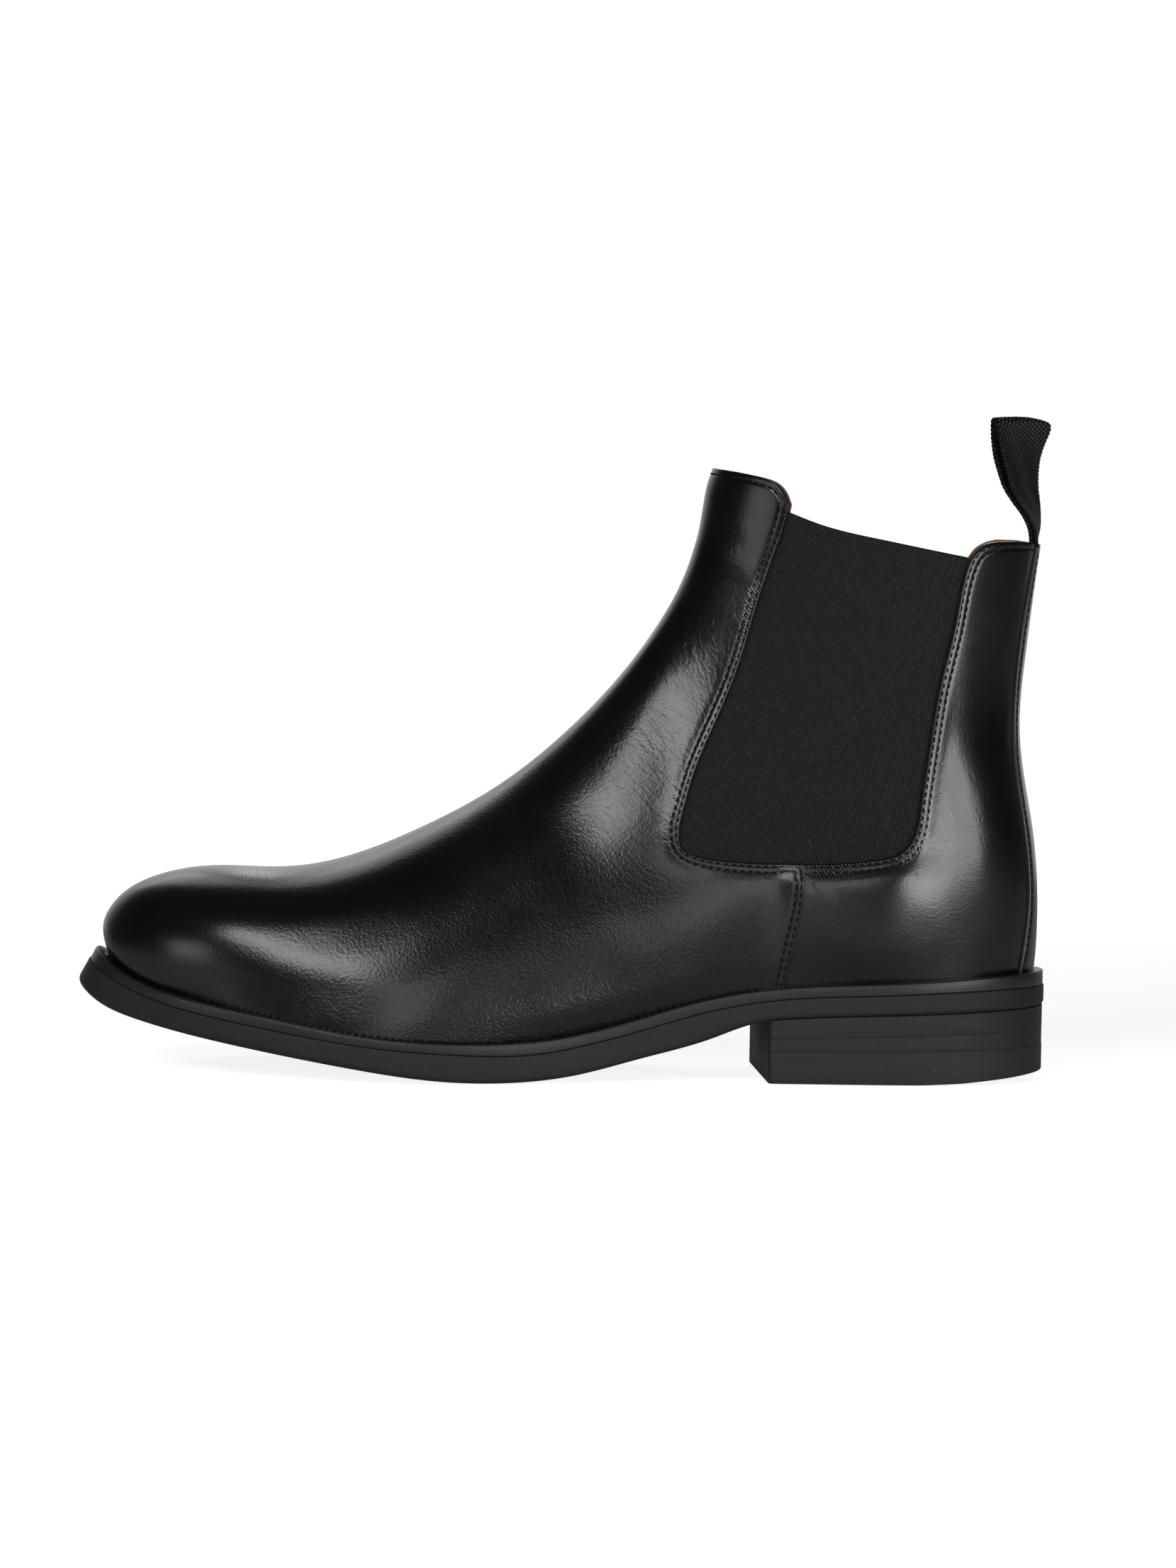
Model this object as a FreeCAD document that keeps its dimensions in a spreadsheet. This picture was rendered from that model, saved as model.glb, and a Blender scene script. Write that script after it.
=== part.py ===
import FreeCAD, Part
import math
import os

from FreeCAD import Vector

# Chelsea boot, left foot, size EU 42.  Millimetres, +Z up, toe towards -X, the
# outer (lateral) side towards -Y.  The ball of the foot and the heel stand on Z = 0.

doc = FreeCAD.newDocument("chelsea_boot")

# ---------------------------------------------------------------- driving dimensions
sheet = doc.addObject("Spreadsheet::Sheet", "Sizes")
SIZES = [
    ("leather_thick", 1.6, "calf leather of the upper"),
    ("middle_thick", 1.2, "elastic, puff, counter and interlining layer"),
    ("lining_thick", 1.0, "lining leather"),
    ("backstay_thick", 1.0, "strip sewn over the back seam"),
    ("elastic_margin", 8.0, "elastic hidden under the leather round its window"),
    ("edge_clear", 2.5, "interlining ends below the top edges"),
    ("insole_thick", 2.4, "insole board"),
    ("sock_thick", 1.2, "sock liner over the insole"),
    ("insole_gap", 0.25, "clearance between insole and lining"),
    ("heel_setback", 0.6, "heel block inside the outsole edge"),
    ("stitch_out", 1.5, "welt stitches outside the feather line"),
    ("welt_lap", 4.6, "welt under the upper, inside the feather line"),
    ("shank_length", 96.0, "steel shank"),
    ("shank_width", 15.0, "steel shank"),
    ("shank_thick", 1.4, "steel shank"),
    ("nail_radius", 1.1, "heel nails"),
    ("nail_length", 24.0, "heel nails"),
    ("tab_width", 19.0, "pull tab webbing"),
    ("tab_thick", 1.3, "pull tab webbing"),
    ("tab_height", 37.6, "pull tab loop above the top edge"),
    ("thread_thick", 0.3, "thread above the leather"),
    ("thread_width", 0.7, "thread"),
    ("row_gap", 2.2, "between the two rows of a double seam"),
    ("edge_gap", 1.6, "seam edge to the first row"),
    ("flex_gap", 0.3, "clearance along the flex line of the rear leg"),
    ("half_block", 70.0, "half width of the cutting blocks"),
]
for row, (alias, value, note) in enumerate(SIZES, start=1):
    sheet.set("A%d" % row, note)
    sheet.set("B%d" % row, str(value))
    sheet.setAlias("B%d" % row, alias)
doc.recompute()


def size(alias):
    return float(sheet.get(alias))


# ---------------------------------------------------------------- shape of the last
# Fan sections of the upper from the toe round to the top edge.  Each section is a
# closed oval between a point on the front ridge and a point on the back or below the
# sole: ridge x, z, far x, z, half width, centre y at the far end, y of the ridge,
# widest place (share from the far end) and the two roundness exponents.
SECTIONS = [
    (-131.0, 20.0, -124.0, -4.0, 12.4, 3.6, 3.6, 0.50, 2.00, 2.2),
    (-137.5, 30.0, -121.0, -12.0, 15.8, 3.7, 3.8, 0.50, 2.00, 2.4),
    (-141.6, 40.5, -111.0, -20.0, 20.0, 3.8, 4.2, 0.52, 2.00, 2.4),
    (-139.4, 48.3, -102.0, -23.0, 25.8, 3.8, 4.4, 0.56, 2.05, 2.5),
    (-132.5, 54.9, -96.0, -24.0, 31.6, 3.4, 4.4, 0.60, 2.10, 2.6),
    (-120.5, 59.6, -90.0, -25.0, 37.2, 2.4, 4.2, 0.63, 2.15, 2.7),
    (-105.0, 61.5, -82.5, -25.0, 41.9, 1.0, 4.0, 0.63, 2.20, 2.8),
    (-86.0, 61.4, -73.0, -25.0, 45.4, -0.6, 3.8, 0.61, 2.20, 3.0),
    (-66.0, 65.1, -60.0, -25.0, 47.4, -2.2, 3.8, 0.57, 2.15, 3.0),
    (-43.5, 74.3, -41.0, -24.0, 46.3, -3.9, 4.0, 0.51, 2.05, 2.8),
    (-19.0, 88.2, -13.0, -22.0, 40.6, -5.0, 4.0, 0.47, 2.00, 2.6),
    (2.7, 106.3, 20.0, -18.0, 34.8, -4.8, 3.2, 0.46, 2.05, 2.45),
    (19.0, 124.2, 57.0, -14.0, 32.3, -3.2, 2.2, 0.46, 2.15, 2.5),
    (30.2, 140.3, 98.0, -12.0, 32.0, -1.5, 1.4, 0.47, 2.20, 2.6),
    (36.4, 152.2, 129.0, -6.0, 32.3, -0.5, 0.8, 0.47, 2.20, 2.4),
    (39.6, 161.3, 143.8, 20.0, 32.3, 0.0, 0.4, 0.46, 2.15, 2.1),
    (41.2, 167.4, 147.2, 47.0, 32.0, 0.0, 0.2, 0.46, 2.05, 2.1),
    (42.1, 172.7, 145.6, 75.0, 31.6, 0.0, 0.0, 0.46, 2.00, 2.1),
    (42.8, 177.5, 140.9, 104.0, 31.4, 0.0, 0.0, 0.47, 2.00, 2.05),
    (43.7, 182.2, 142.3, 133.0, 31.8, 0.0, 0.0, 0.48, 2.00, 2.0),
    (45.4, 187.5, 146.2, 166.0, 32.6, 0.0, 0.0, 0.50, 2.00, 2.0),
    (48.5, 197.5, 149.8, 185.0, 33.2, 0.0, 0.0, 0.50, 2.00, 2.0),
]
LAST_SECTION = len(SECTIONS) - 1


def spline_moments(values):
    """Second derivatives of the natural cubic spline through evenly spaced values."""
    count = len(values)
    upper = [0.0] * count
    right = [0.0] * count
    for i in range(1, count - 1):
        bend = 6.0 * (values[i - 1] - 2.0 * values[i] + values[i + 1])
        pivot = 4.0 - upper[i - 1]
        upper[i] = 1.0 / pivot
        right[i] = (bend - right[i - 1]) / pivot
    moments = [0.0] * count
    for i in range(count - 2, 0, -1):
        moments[i] = right[i] - upper[i] * moments[i + 1]
    return moments


COLUMNS = [list(column) for column in zip(*SECTIONS)]
MOMENTS = [spline_moments(column) for column in COLUMNS]


def section_at(v):
    i = min(max(int(math.floor(v)), 0), LAST_SECTION - 1)
    f = v - i
    g = 1.0 - f
    out = []
    for column, moment in zip(COLUMNS, MOMENTS):
        bend = (g ** 3 - g) * moment[i] + (f ** 3 - f) * moment[i + 1]
        out.append(g * column[i] + f * column[i + 1] + bend / 6.0)
    return out


def outer_point(v, angle):
    """Point of the outer leather face.  angle 0 is the ridge, pi the back or bottom."""
    dx, dz, bx, bz, half, low_y, ridge_y, widest, up_pow, low_pow = section_at(v)
    c = math.cos(angle)
    s = math.sin(angle)
    power = up_pow if c > 0.0 else low_pow
    reach = abs(c) ** (2.0 / power)
    share = widest + (1.0 - widest) * reach if c > 0.0 else widest * (1.0 - reach)
    side = math.copysign(abs(s) ** (2.0 / power), -s)
    y = side * half + ridge_y * share + low_y * (1.0 - share)
    return Vector(bx + (dx - bx) * share, y, bz + (dz - bz) * share)


def layer_point(v, angle, depth):
    """Point at a depth below the outer leather face, measured square to it."""
    step = 0.01
    along = outer_point(v + step, angle) - outer_point(v - step, angle)
    round_ = outer_point(v, angle + step) - outer_point(v, angle - step)
    normal = along.cross(round_)
    normal.normalize()
    return outer_point(v, angle) + normal * depth


def solid_between(outer_grid, inner_grid):
    """Closed solid between two grids of points with the same layout."""
    outer = Part.BSplineSurface()
    outer.interpolate(outer_grid)
    inner = Part.BSplineSurface()
    inner.interpolate(inner_grid)
    u0, u1, v0, v1 = outer.bounds()
    faces = [outer.toShape(), inner.toShape()]
    a0, a1, b0, b1 = inner.bounds()
    for edge_a, edge_b in (
        (outer.uIso(u0), inner.uIso(a0)),
        (outer.uIso(u1), inner.uIso(a1)),
        (outer.vIso(v0), inner.vIso(b0)),
        (outer.vIso(v1), inner.vIso(b1)),
    ):
        faces.append(Part.makeRuledSurface(edge_a.toShape(), edge_b.toShape()))
    shell = Part.makeShell(faces)
    shell.sewShape()
    solid = Part.makeSolid(shell)
    if solid.Volume < 0:
        solid.reverse()
    return solid


def layer_solid(depth_out, depth_in, angle_from, angle_to):
    rows = [LAST_SECTION * i / 60.0 for i in range(61)]
    angles = [angle_from + (angle_to - angle_from) * j / 56.0 for j in range(57)]
    grids = []
    for depth in (depth_out, depth_in):
        grids.append([[layer_point(v, a, depth) for a in angles] for v in rows])
    return solid_between(grids[0], grids[1])


def static(label, shape):
    """Plain shape object; Placement is written after the shape."""
    obj = doc.addObject("Part::Feature", label)
    obj.Shape = shape
    obj.Placement = FreeCAD.Placement()
    return obj


leather = size("leather_thick")
middle_in = leather + size("middle_thick")
lining_in = middle_in + size("lining_thick")
FRONT = (-0.9 * math.pi, 0.9 * math.pi)
REAR = (0.1 * math.pi, 1.9 * math.pi)
LAYERS = {
    "leather": (0.0, leather),
    "middle": (leather, middle_in),
    "lining": (middle_in, lining_in),
}
layers = {}
for layer_name, (depth_out, depth_in) in LAYERS.items():
    for side_name, (angle_from, angle_to) in (("front", FRONT), ("rear", REAR)):
        label = "shape_%s_%s" % (layer_name, side_name)
        layers[layer_name, side_name] = static(
            label, layer_solid(depth_out, depth_in, angle_from, angle_to))
layers["strip", "rear"] = static(
    "shape_strip", layer_solid(-size("backstay_thick"), 0.0, *REAR))
for side_name, (angle_from, angle_to) in (("front", FRONT), ("rear", REAR)):
    layers["thread", side_name] = static(
        "shape_thread_" + side_name,
        layer_solid(-size("thread_thick"), 0.0, angle_from, angle_to))
layers["strip_thread", "rear"] = static(
    "shape_strip_thread",
    layer_solid(-size("backstay_thick") - size("thread_thick"), -size("backstay_thick"), *REAR))

# ---------------------------------------------------------------- lines seen from the side
# Heights (x, z) of the sole's layers.
SOLE_BOTTOM = [(-160.0, 33.0), (-149.4, 26.0), (-137.2, 19.0), (-125.7, 15.4), (-103.2, 10.8),
               (-81.2, 7.2), (-59.6, 3.8), (-38.1, 0.9), (-20.0, 0.0), (-6.0, 0.6), (4.5, 2.0),
               (25.9, 7.4), (47.3, 13.6), (60.0, 18.2), (72.0, 19.8), (108.5, 21.3), (165.0, 23.6)]
WELT_BOTTOM = [(-165.0, 41.0), (-146.6, 31.3), (-127.2, 23.4), (-97.5, 16.9), (-72.4, 12.9),
               (-49.8, 10.1), (-27.6, 8.6), (-5.2, 8.9), (5.8, 10.8), (24.7, 15.6), (44.0, 21.2),
               (63.3, 25.0), (97.8, 27.2), (128.4, 28.6), (165.0, 29.4)]
WELT_TOP = [(-165.0, 44.0), (-144.9, 34.2), (-130.7, 28.0), (-97.6, 20.5), (-72.5, 16.1),
            (-49.8, 13.2), (-27.6, 12.1), (-5.3, 12.9), (5.8, 14.6), (24.6, 19.4), (43.9, 25.0),
            (63.3, 28.6), (97.7, 30.8), (128.3, 32.6), (165.0, 34.4)]
LIFT_LINE_UPPER = [(50.0, 13.1), (108.0, 14.9), (165.0, 16.8)]
LIFT_LINE_LOWER = [(50.0, 9.5), (108.0, 10.3), (165.0, 11.0)]
HEEL_BOTTOM = [(50.0, 0.0), (112.0, 0.0), (124.0, 0.4), (138.0, 1.5), (165.0, 4.2)]

# Edges of the upper's pieces.
WINDOW_FRONT = [(68.0, 176.3), (67.2, 172.5), (62.4, 157.4), (57.3, 140.1), (52.1, 122.8),
                (45.9, 107.6), (40.7, 94.5), (37.7, 83.7), (36.3, 76.1), (37.2, 71.8),
                (42.2, 68.3), (49.8, 66.9), (67.0, 66.1), (75.0, 66.2)]
WINDOW_REAR_LOW = [(75.0, 66.2), (84.3, 66.4), (97.2, 67.9), (104.8, 70.6), (108.4, 76.1),
                   (109.9, 84.2)]
WINDOW_REAR_HIGH = [(109.9, 84.2), (112.3, 102.0), (115.9, 123.7), (119.9, 141.0),
                    (123.5, 158.3), (125.6, 162.4), (128.6, 164.9), (132.6, 165.9)]
VAMP_TOP = [(68.0, 176.3), (66.4, 180.0), (63.6, 182.6), (59.2, 184.0), (52.6, 185.2),
            (44.8, 186.4), (30.0, 188.6)]
QUARTER_TOP = [(132.6, 165.9), (140.0, 166.1), (147.0, 165.3), (165.0, 163.0)]
SIDE_SEAM = [(75.0, 66.2), (74.3, 54.2), (72.1, 43.4), (69.7, 31.5), (67.0, 18.0)]
STRIP_EDGE = [(146.6, 175.0), (144.8, 162.5), (140.6, 136.1), (139.0, 114.2), (139.7, 96.6),
              (143.0, 74.8), (144.2, 63.8), (144.0, 48.4), (142.8, 39.7), (140.5, 25.0)]
ELASTIC_TOP = [(56.0, 178.6), (68.0, 173.9), (82.8, 168.9), (100.1, 165.3), (125.0, 160.7),
               (140.0, 158.2)]
FLEX_LINE = [(105.0, 83.6), (170.0, 96.6)]
COUNTER_EDGE = [(84.0, 15.0), (85.0, 40.0), (89.0, 57.0), (110.0, 59.0), (121.0, 72.0),
                (123.0, 84.0)]
PUFF_EDGE = [(-98.0, 80.0), (-92.0, 60.0), (-78.0, 0.0)]


def shifted(line, dx, dz):
    return [(x + dx, z + dz) for x, z in line]


def offset_line(line, distance):
    """The line moved sideways: positive to the left of its direction."""
    out = []
    for i, (x, z) in enumerate(line):
        ax, az = line[max(i - 1, 0)]
        bx, bz = line[min(i + 1, len(line) - 1)]
        length = math.hypot(bx - ax, bz - az)
        out.append((x - (bz - az) / length * distance, z + (bx - ax) / length * distance))
    return out


def along(line, count):
    """Evenly spaced points of the smooth curve through a line."""
    curve = Part.BSplineCurve()
    curve.interpolate([Vector(x, 0.0, z) for x, z in line])
    return [(p.x, p.z) for p in curve.toShape().discretize(Number=count)]


def height_on(line, x):
    """Height of a sole line at x, straight between its points."""
    for (ax, az), (bx, bz) in zip(line, line[1:]):
        if ax <= x <= bx:
            return az + (bz - az) * (x - ax) / (bx - ax)
    return line[-1][1]


def side_wire(parts):
    """Closed wire in the XZ plane; each part is ("smooth" or "straight", points)."""
    edges = []
    ends = []
    for kind, line in parts:
        points = [Vector(x, 0.0, z) for x, z in line]
        if kind == "smooth" and len(points) > 2:
            curve = Part.BSplineCurve()
            curve.interpolate(points)
            edges.append(curve.toShape())
        else:
            for a, b in zip(points, points[1:]):
                edges.append(Part.makeLine(a, b))
        ends.append((points[0], points[-1]))
    closing = []
    for (_, tail), (head, _) in zip(ends, ends[1:] + ends[:1]):
        if (tail - head).Length > 1e-6:
            closing.append(Part.makeLine(tail, head))
    return Part.Wire(Part.__sortEdges__(edges + closing))


def side_block(label, parts, lateral=True, medial=True):
    """Block with a side outline, run across the boot or over one side of it."""
    profile = static(label + "_profile", Part.Face(side_wire(parts)))
    block = doc.addObject("Part::Extrusion", label)
    block.Base = profile
    block.DirMode = "Custom"
    block.Dir = Vector(0, 1, 0)
    block.Solid = True
    block.setExpression("LengthFwd", "Sizes.half_block * %d" % int(medial))
    block.setExpression("LengthRev", "Sizes.half_block * %d" % int(lateral))
    return block


def common(label, *parts):
    obj = doc.addObject("Part::MultiCommon", label)
    obj.Shapes = list(parts)
    return obj


def cut(label, base, tool):
    obj = doc.addObject("Part::Cut", label)
    obj.Base = base
    obj.Tool = tool
    return obj


def fuse(label, *parts):
    obj = doc.addObject("Part::MultiFuse", label)
    obj.Shapes = list(parts)
    return obj


# ---------------------------------------------------------------- cutting blocks of the upper
# The upper's pieces stop a hair above the welt's top line.
feather = shifted(along(WELT_TOP, 90), 0.0, 0.03)
seam_foot = (69.2, height_on(feather, 69.2))
feather_front = [p for p in feather if p[0] < 67.0] + [seam_foot]
feather_rear = [seam_foot] + [p for p in feather if p[0] > 72.0]
side_seam = SIDE_SEAM[:-2] + [seam_foot]
flex_start = WINDOW_REAR_LOW[-1]
flex_gap = size("flex_gap")
flex_end = (165.0, flex_start[1] + 0.2 * (165.0 - flex_start[0]))

vamp_parts = [
    ("smooth", WINDOW_FRONT),
    ("smooth", side_seam),
    ("smooth", feather_front[::-1]),
    ("straight", [(-165.0, 44.0), (-165.0, 188.6), (30.0, 188.6)]),
    ("smooth", VAMP_TOP[::-1]),
]
foot_quarter_parts = [
    ("smooth", side_seam[::-1]),
    ("smooth", WINDOW_REAR_LOW),
    ("straight", [flex_start, flex_end]),
    ("straight", [flex_end, feather_rear[-1]]),
    ("smooth", feather_rear[::-1]),
]
leg_low = (flex_start[0] + 0.05, flex_start[1] + flex_gap)
leg_quarter_parts = [
    ("smooth", [leg_low] + WINDOW_REAR_HIGH[1:]),
    ("smooth", QUARTER_TOP),
    ("straight", [QUARTER_TOP[-1], (165.0, flex_end[1] + flex_gap), leg_low]),
]
vamp_block = side_block("block_vamp", vamp_parts)
foot_lateral = side_block("block_quarter_lateral", foot_quarter_parts, medial=False)
foot_medial = side_block("block_quarter_medial", foot_quarter_parts, lateral=False)
foot_both = side_block("block_quarter", foot_quarter_parts)
leg_lateral = side_block("block_leg_lateral", leg_quarter_parts, medial=False)
leg_medial = side_block("block_leg_medial", leg_quarter_parts, lateral=False)
leg_both = side_block("block_leg", leg_quarter_parts)

nodes = []


def node(obj, label=None):
    if label:
        obj.Label = label
    nodes.append(obj)
    return obj


# ---------------------------------------------------------------- leather pieces
node(common("vamp", layers["leather", "front"], vamp_block))
node(common("quarter_lateral", layers["leather", "rear"], foot_lateral))
node(common("quarter_medial", layers["leather", "rear"], foot_medial))
node(common("leg_quarter_lateral", layers["leather", "rear"], leg_lateral))
node(common("leg_quarter_medial", layers["leather", "rear"], leg_medial))

strip_block = side_block("block_strip", [
    ("smooth", STRIP_EDGE),
    ("straight", [STRIP_EDGE[-1], (165.0, 25.0), (165.0, 175.0), STRIP_EDGE[0]]),
])
node(common("backstay", layers["strip", "rear"], strip_block, foot_both))
node(common("leg_backstay", layers["strip", "rear"], strip_block, leg_both))

# ---------------------------------------------------------------- lining
node(common("vamp_lining", layers["lining", "front"], vamp_block))
node(common("quarter_lining", layers["lining", "rear"], foot_both))
node(common("leg_lining", layers["lining", "rear"], leg_both))

# ---------------------------------------------------------------- middle layer
margin = size("elastic_margin")
margin_front = offset_line(WINDOW_FRONT, -margin)
margin_line = [(59.4, 177.4)] + [p for p in margin_front[2:9]] + [
    (29.6, 68.0), (37.5, 60.8), (49.0, 58.9), (66.0, 58.1), (84.5, 58.4), (99.0, 60.1),
    (110.5, 64.5), (116.3, 74.5), (118.0, 84.2), (120.3, 101.0), (123.8, 122.4),
    (127.8, 139.5), (131.4, 157.0), (133.0, 159.4)]
elastic_parts = [
    ("smooth", margin_line),
    ("smooth", [(133.0, 159.4), (125.0, 160.7), (100.1, 165.3), (82.8, 168.9), (68.0, 173.9),
                (59.4, 177.4)]),
]
elastic_block = side_block("block_elastic", elastic_parts)
elastic_lateral = side_block("block_elastic_lateral", elastic_parts, medial=False)
elastic_medial = side_block("block_elastic_medial", elastic_parts, lateral=False)
node(common("gusset_lateral", layers["middle", "front"], elastic_lateral))
node(common("gusset_medial", layers["middle", "front"], elastic_medial))

puff_block = side_block("block_puff", [
    ("smooth", PUFF_EDGE),
    ("straight", [PUFF_EDGE[-1], (-170.0, 0.0), (-170.0, 80.0), PUFF_EDGE[0]]),
])
node(common("toe_puff", layers["middle", "front"], vamp_block, puff_block))
top_clear = -size("edge_clear")
vamp_top_block = side_block("block_vamp_top", [
    ("smooth", shifted(VAMP_TOP[2:], 0.0, top_clear)),
    ("straight", [(30.0, 188.6 + top_clear), (20.0, 200.0), (80.0, 200.0), (80.0, 170.0),
                  shifted(VAMP_TOP[2:], 0.0, top_clear)[0]]),
])
front_middle = common("shape_front_middle", layers["middle", "front"], vamp_block)
front_bare = cut("shape_front_bare", front_middle, puff_block)
front_low = cut("shape_front_low", front_bare, vamp_top_block)
node(cut("interlining", front_low, elastic_block))

counter_block = side_block("block_counter", [
    ("smooth", COUNTER_EDGE),
    ("straight", [COUNTER_EDGE[-1], (165.0, 92.4), (165.0, 15.0), COUNTER_EDGE[0]]),
])
node(common("heel_counter", layers["middle", "rear"], foot_both, counter_block))

quarter_top_block = side_block("block_quarter_top", [
    ("straight", [(120.0, 162.0), (135.0, 165.9 + top_clear), (147.0, 165.3 + top_clear),
                  (165.0, 163.0 + top_clear), (165.0, 185.0), (120.0, 185.0), (120.0, 162.0)]),
])
leg_middle = common("shape_leg_middle", layers["middle", "rear"], leg_both)
leg_low_middle = cut("shape_leg_low_middle", leg_middle, quarter_top_block)
leg_bare = cut("shape_leg_bare", leg_low_middle, elastic_block)
half_tab = 0.5 * size("tab_width")
tail_box = doc.addObject("Part::Box", "block_tail")
tail_box.setExpression("Width", "Sizes.tab_width")
tail_box.setExpression("Length", "20")
tail_box.setExpression("Height", "30")
tail_box.setExpression("Placement.Base.x", "135")
tail_box.setExpression("Placement.Base.y", "-Sizes.tab_width / 2")
tail_box.setExpression("Placement.Base.z", "150")
node(common("pull_tab_tail", leg_middle, tail_box))
node(cut("leg_interlining", leg_bare, tail_box))

# ---------------------------------------------------------------- thread rows
edge_gap = size("edge_gap")
row_gap = size("row_gap")
half_thread = 0.5 * size("thread_width")


def thread_row(label, line, distance):
    """Side outline of one row of stitching beside an edge."""
    near = offset_line(line, distance - half_thread)
    far = offset_line(line, distance + half_thread)
    return side_block(label, [("smooth", near), ("smooth", far[::-1])])


row_front = WINDOW_FRONT[1:]
row_rear_low = WINDOW_REAR_LOW
row_rear_high = [(110.0, 84.8)] + WINDOW_REAR_HIGH[1:-2]
front_rows = []
leg_rows = []
rear_rows = []
for number in range(2):
    distance = edge_gap + number * row_gap
    front_rows.append(thread_row("row_front_%d" % number, row_front, -distance))
    rear_rows.append(thread_row("row_rear_%d" % number, row_rear_low, -distance))
    leg_rows.append(thread_row("row_leg_%d" % number, row_rear_high, -distance))
    seam_line = side_seam
    front_rows.append(thread_row("row_seam_%d" % number, seam_line, -distance))
front_rows.append(thread_row("row_vamp_top", VAMP_TOP[2:], edge_gap + 0.6))
leg_rows.append(thread_row("row_quarter_top", QUARTER_TOP[:3], -edge_gap - 0.6))
node(common("vamp_stitching", layers["thread", "front"], fuse("rows_front", *front_rows)))
node(common("quarter_stitching", layers["thread", "rear"], fuse("rows_rear", *rear_rows)))
leg_rows_all = fuse("rows_leg", *leg_rows)
node(common("leg_stitching", layers["thread", "rear"], cut("rows_leg_clear", leg_rows_all,
                                                           strip_block)))
strip_row = thread_row("row_strip", STRIP_EDGE, 1.4)
node(common("backstay_stitching", layers["strip_thread", "rear"], strip_row, foot_both))
node(common("leg_backstay_stitching", layers["strip_thread", "rear"], strip_row, leg_both))

# ---------------------------------------------------------------- sole outline from above
# Outsole edge, from the back of the heel round the lateral side to the medial side.
SOLE_OUTLINE = [
    (150.8, 0.0), (149.0, -9.5), (144.1, -17.6), (134.9, -25.4), (122.7, -30.9), (106.6, -34.0),
    (81.5, -35.0), (51.0, -36.2), (15.8, -40.4), (-14.8, -47.4), (-37.9, -52.2), (-56.6, -53.2),
    (-75.1, -50.8), (-94.4, -45.0), (-112.6, -36.4), (-128.6, -24.7), (-139.9, -14.9),
    (-147.2, -6.0), (-149.3, 3.5), (-147.2, 13.0), (-140.2, 21.8), (-131.0, 30.5),
    (-116.7, 40.7), (-100.1, 47.4), (-81.0, 51.3), (-62.0, 52.2), (-43.2, 49.6), (-20.1, 43.1),
    (16.2, 34.0), (53.3, 32.5), (82.9, 33.3), (106.3, 33.4), (123.1, 30.6), (134.8, 25.4),
    (144.0, 17.6), (149.0, 9.5)]


def inset(outline, distance):
    """Closed outline moved inwards by a distance."""
    out = []
    count = len(outline)
    for i, (x, y) in enumerate(outline):
        ax, ay = outline[i - 1]
        bx, by = outline[(i + 1) % count]
        length = math.hypot(bx - ax, by - ay)
        out.append((x + (by - ay) / length * distance, y - (bx - ax) / length * distance))
    return out


def plan_wire(outline, height, lean=0.0):
    """Closed smooth wire; the toe leans back with height by the lean."""
    points = []
    for x, y in outline:
        share = min(max((-x - 95.0) / 55.0, 0.0), 1.0)
        points.append(Vector(x + lean * share * share * (height - 26.0), y, height))
    curve = Part.BSplineCurve()
    curve.interpolate(points, PeriodicFlag=True)
    return Part.Wire(curve.toShape())


def plan_block(label, outline, low, high, lean=0.0):
    solid = Part.makeLoft([plan_wire(outline, low, lean), plan_wire(outline, high, lean)],
                          True, True)
    return static(label, solid)


def slab(label, low, high, rise_low=0.0, rise_high=0.0):
    """Block between two side lines, each lifted by a rise."""
    return side_block(label, [
        ("smooth", shifted(low, 0.0, rise_low)),
        ("smooth", shifted(high, 0.0, rise_high)[::-1]),
    ])


def feather_outline(depth, lift, steps=26):
    """Plan outline of a layer face where it meets the welt's top line plus a lift."""
    def above(v, angle):
        p = layer_point(v, angle, depth)
        return p.z - height_on(WELT_TOP, p.x) - lift

    def solve(test, low, high):
        for _ in range(40):
            mid = 0.5 * (low + high)
            if (test(mid) > 0.0) == (test(high) > 0.0):
                high = mid
            else:
                low = mid
        return 0.5 * (low + high)

    toe = solve(lambda v: above(v, 0.0), 0.2, 3.0)
    heel = solve(lambda v: above(v, math.pi), 14.5, 17.0)
    sides = {1: [], -1: []}
    for i in range(1, steps):
        share = 0.5 - 0.5 * math.cos(math.pi * i / steps)
        v = toe + (heel - toe) * (0.5 * share + 0.5 * i / steps)
        for sign in (1, -1):
            angle = solve(lambda a: above(v, sign * a), 0.0, math.pi)
            p = layer_point(v, sign * angle, depth)
            sides[sign].append((p.x, p.y))
    front = layer_point(toe, 0.0, depth)
    back = layer_point(heel, math.pi, depth)
    lateral = sides[1][::-1]
    return [(back.x, back.y)] + lateral + [(front.x, front.y)] + sides[-1]


toe_lean = 0.56
sole_block = plan_block("block_sole", SOLE_OUTLINE, -10.0, 60.0, toe_lean)
welt_block = plan_block("block_welt", inset(SOLE_OUTLINE, 0.5), -10.0, 60.0, toe_lean)
welt_inner = feather_outline(size("welt_lap"), 0.0)
inner_block = plan_block("block_welt_inner", welt_inner, -10.0, 60.0)
insole_depth = lining_in + size("insole_gap")
insole_block = plan_block("block_insole", feather_outline(insole_depth, 0.0), -10.0, 60.0)

outsole_raw = common("shape_outsole", sole_block, slab("slab_outsole", SOLE_BOTTOM, WELT_BOTTOM))
welt_raw = common("shape_welt", welt_block, slab("slab_welt", WELT_BOTTOM, WELT_TOP))
node(cut("welt", welt_raw, inner_block))
cork_raw = common("shape_cork", inner_block, slab("slab_cork", WELT_BOTTOM, WELT_TOP))

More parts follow.
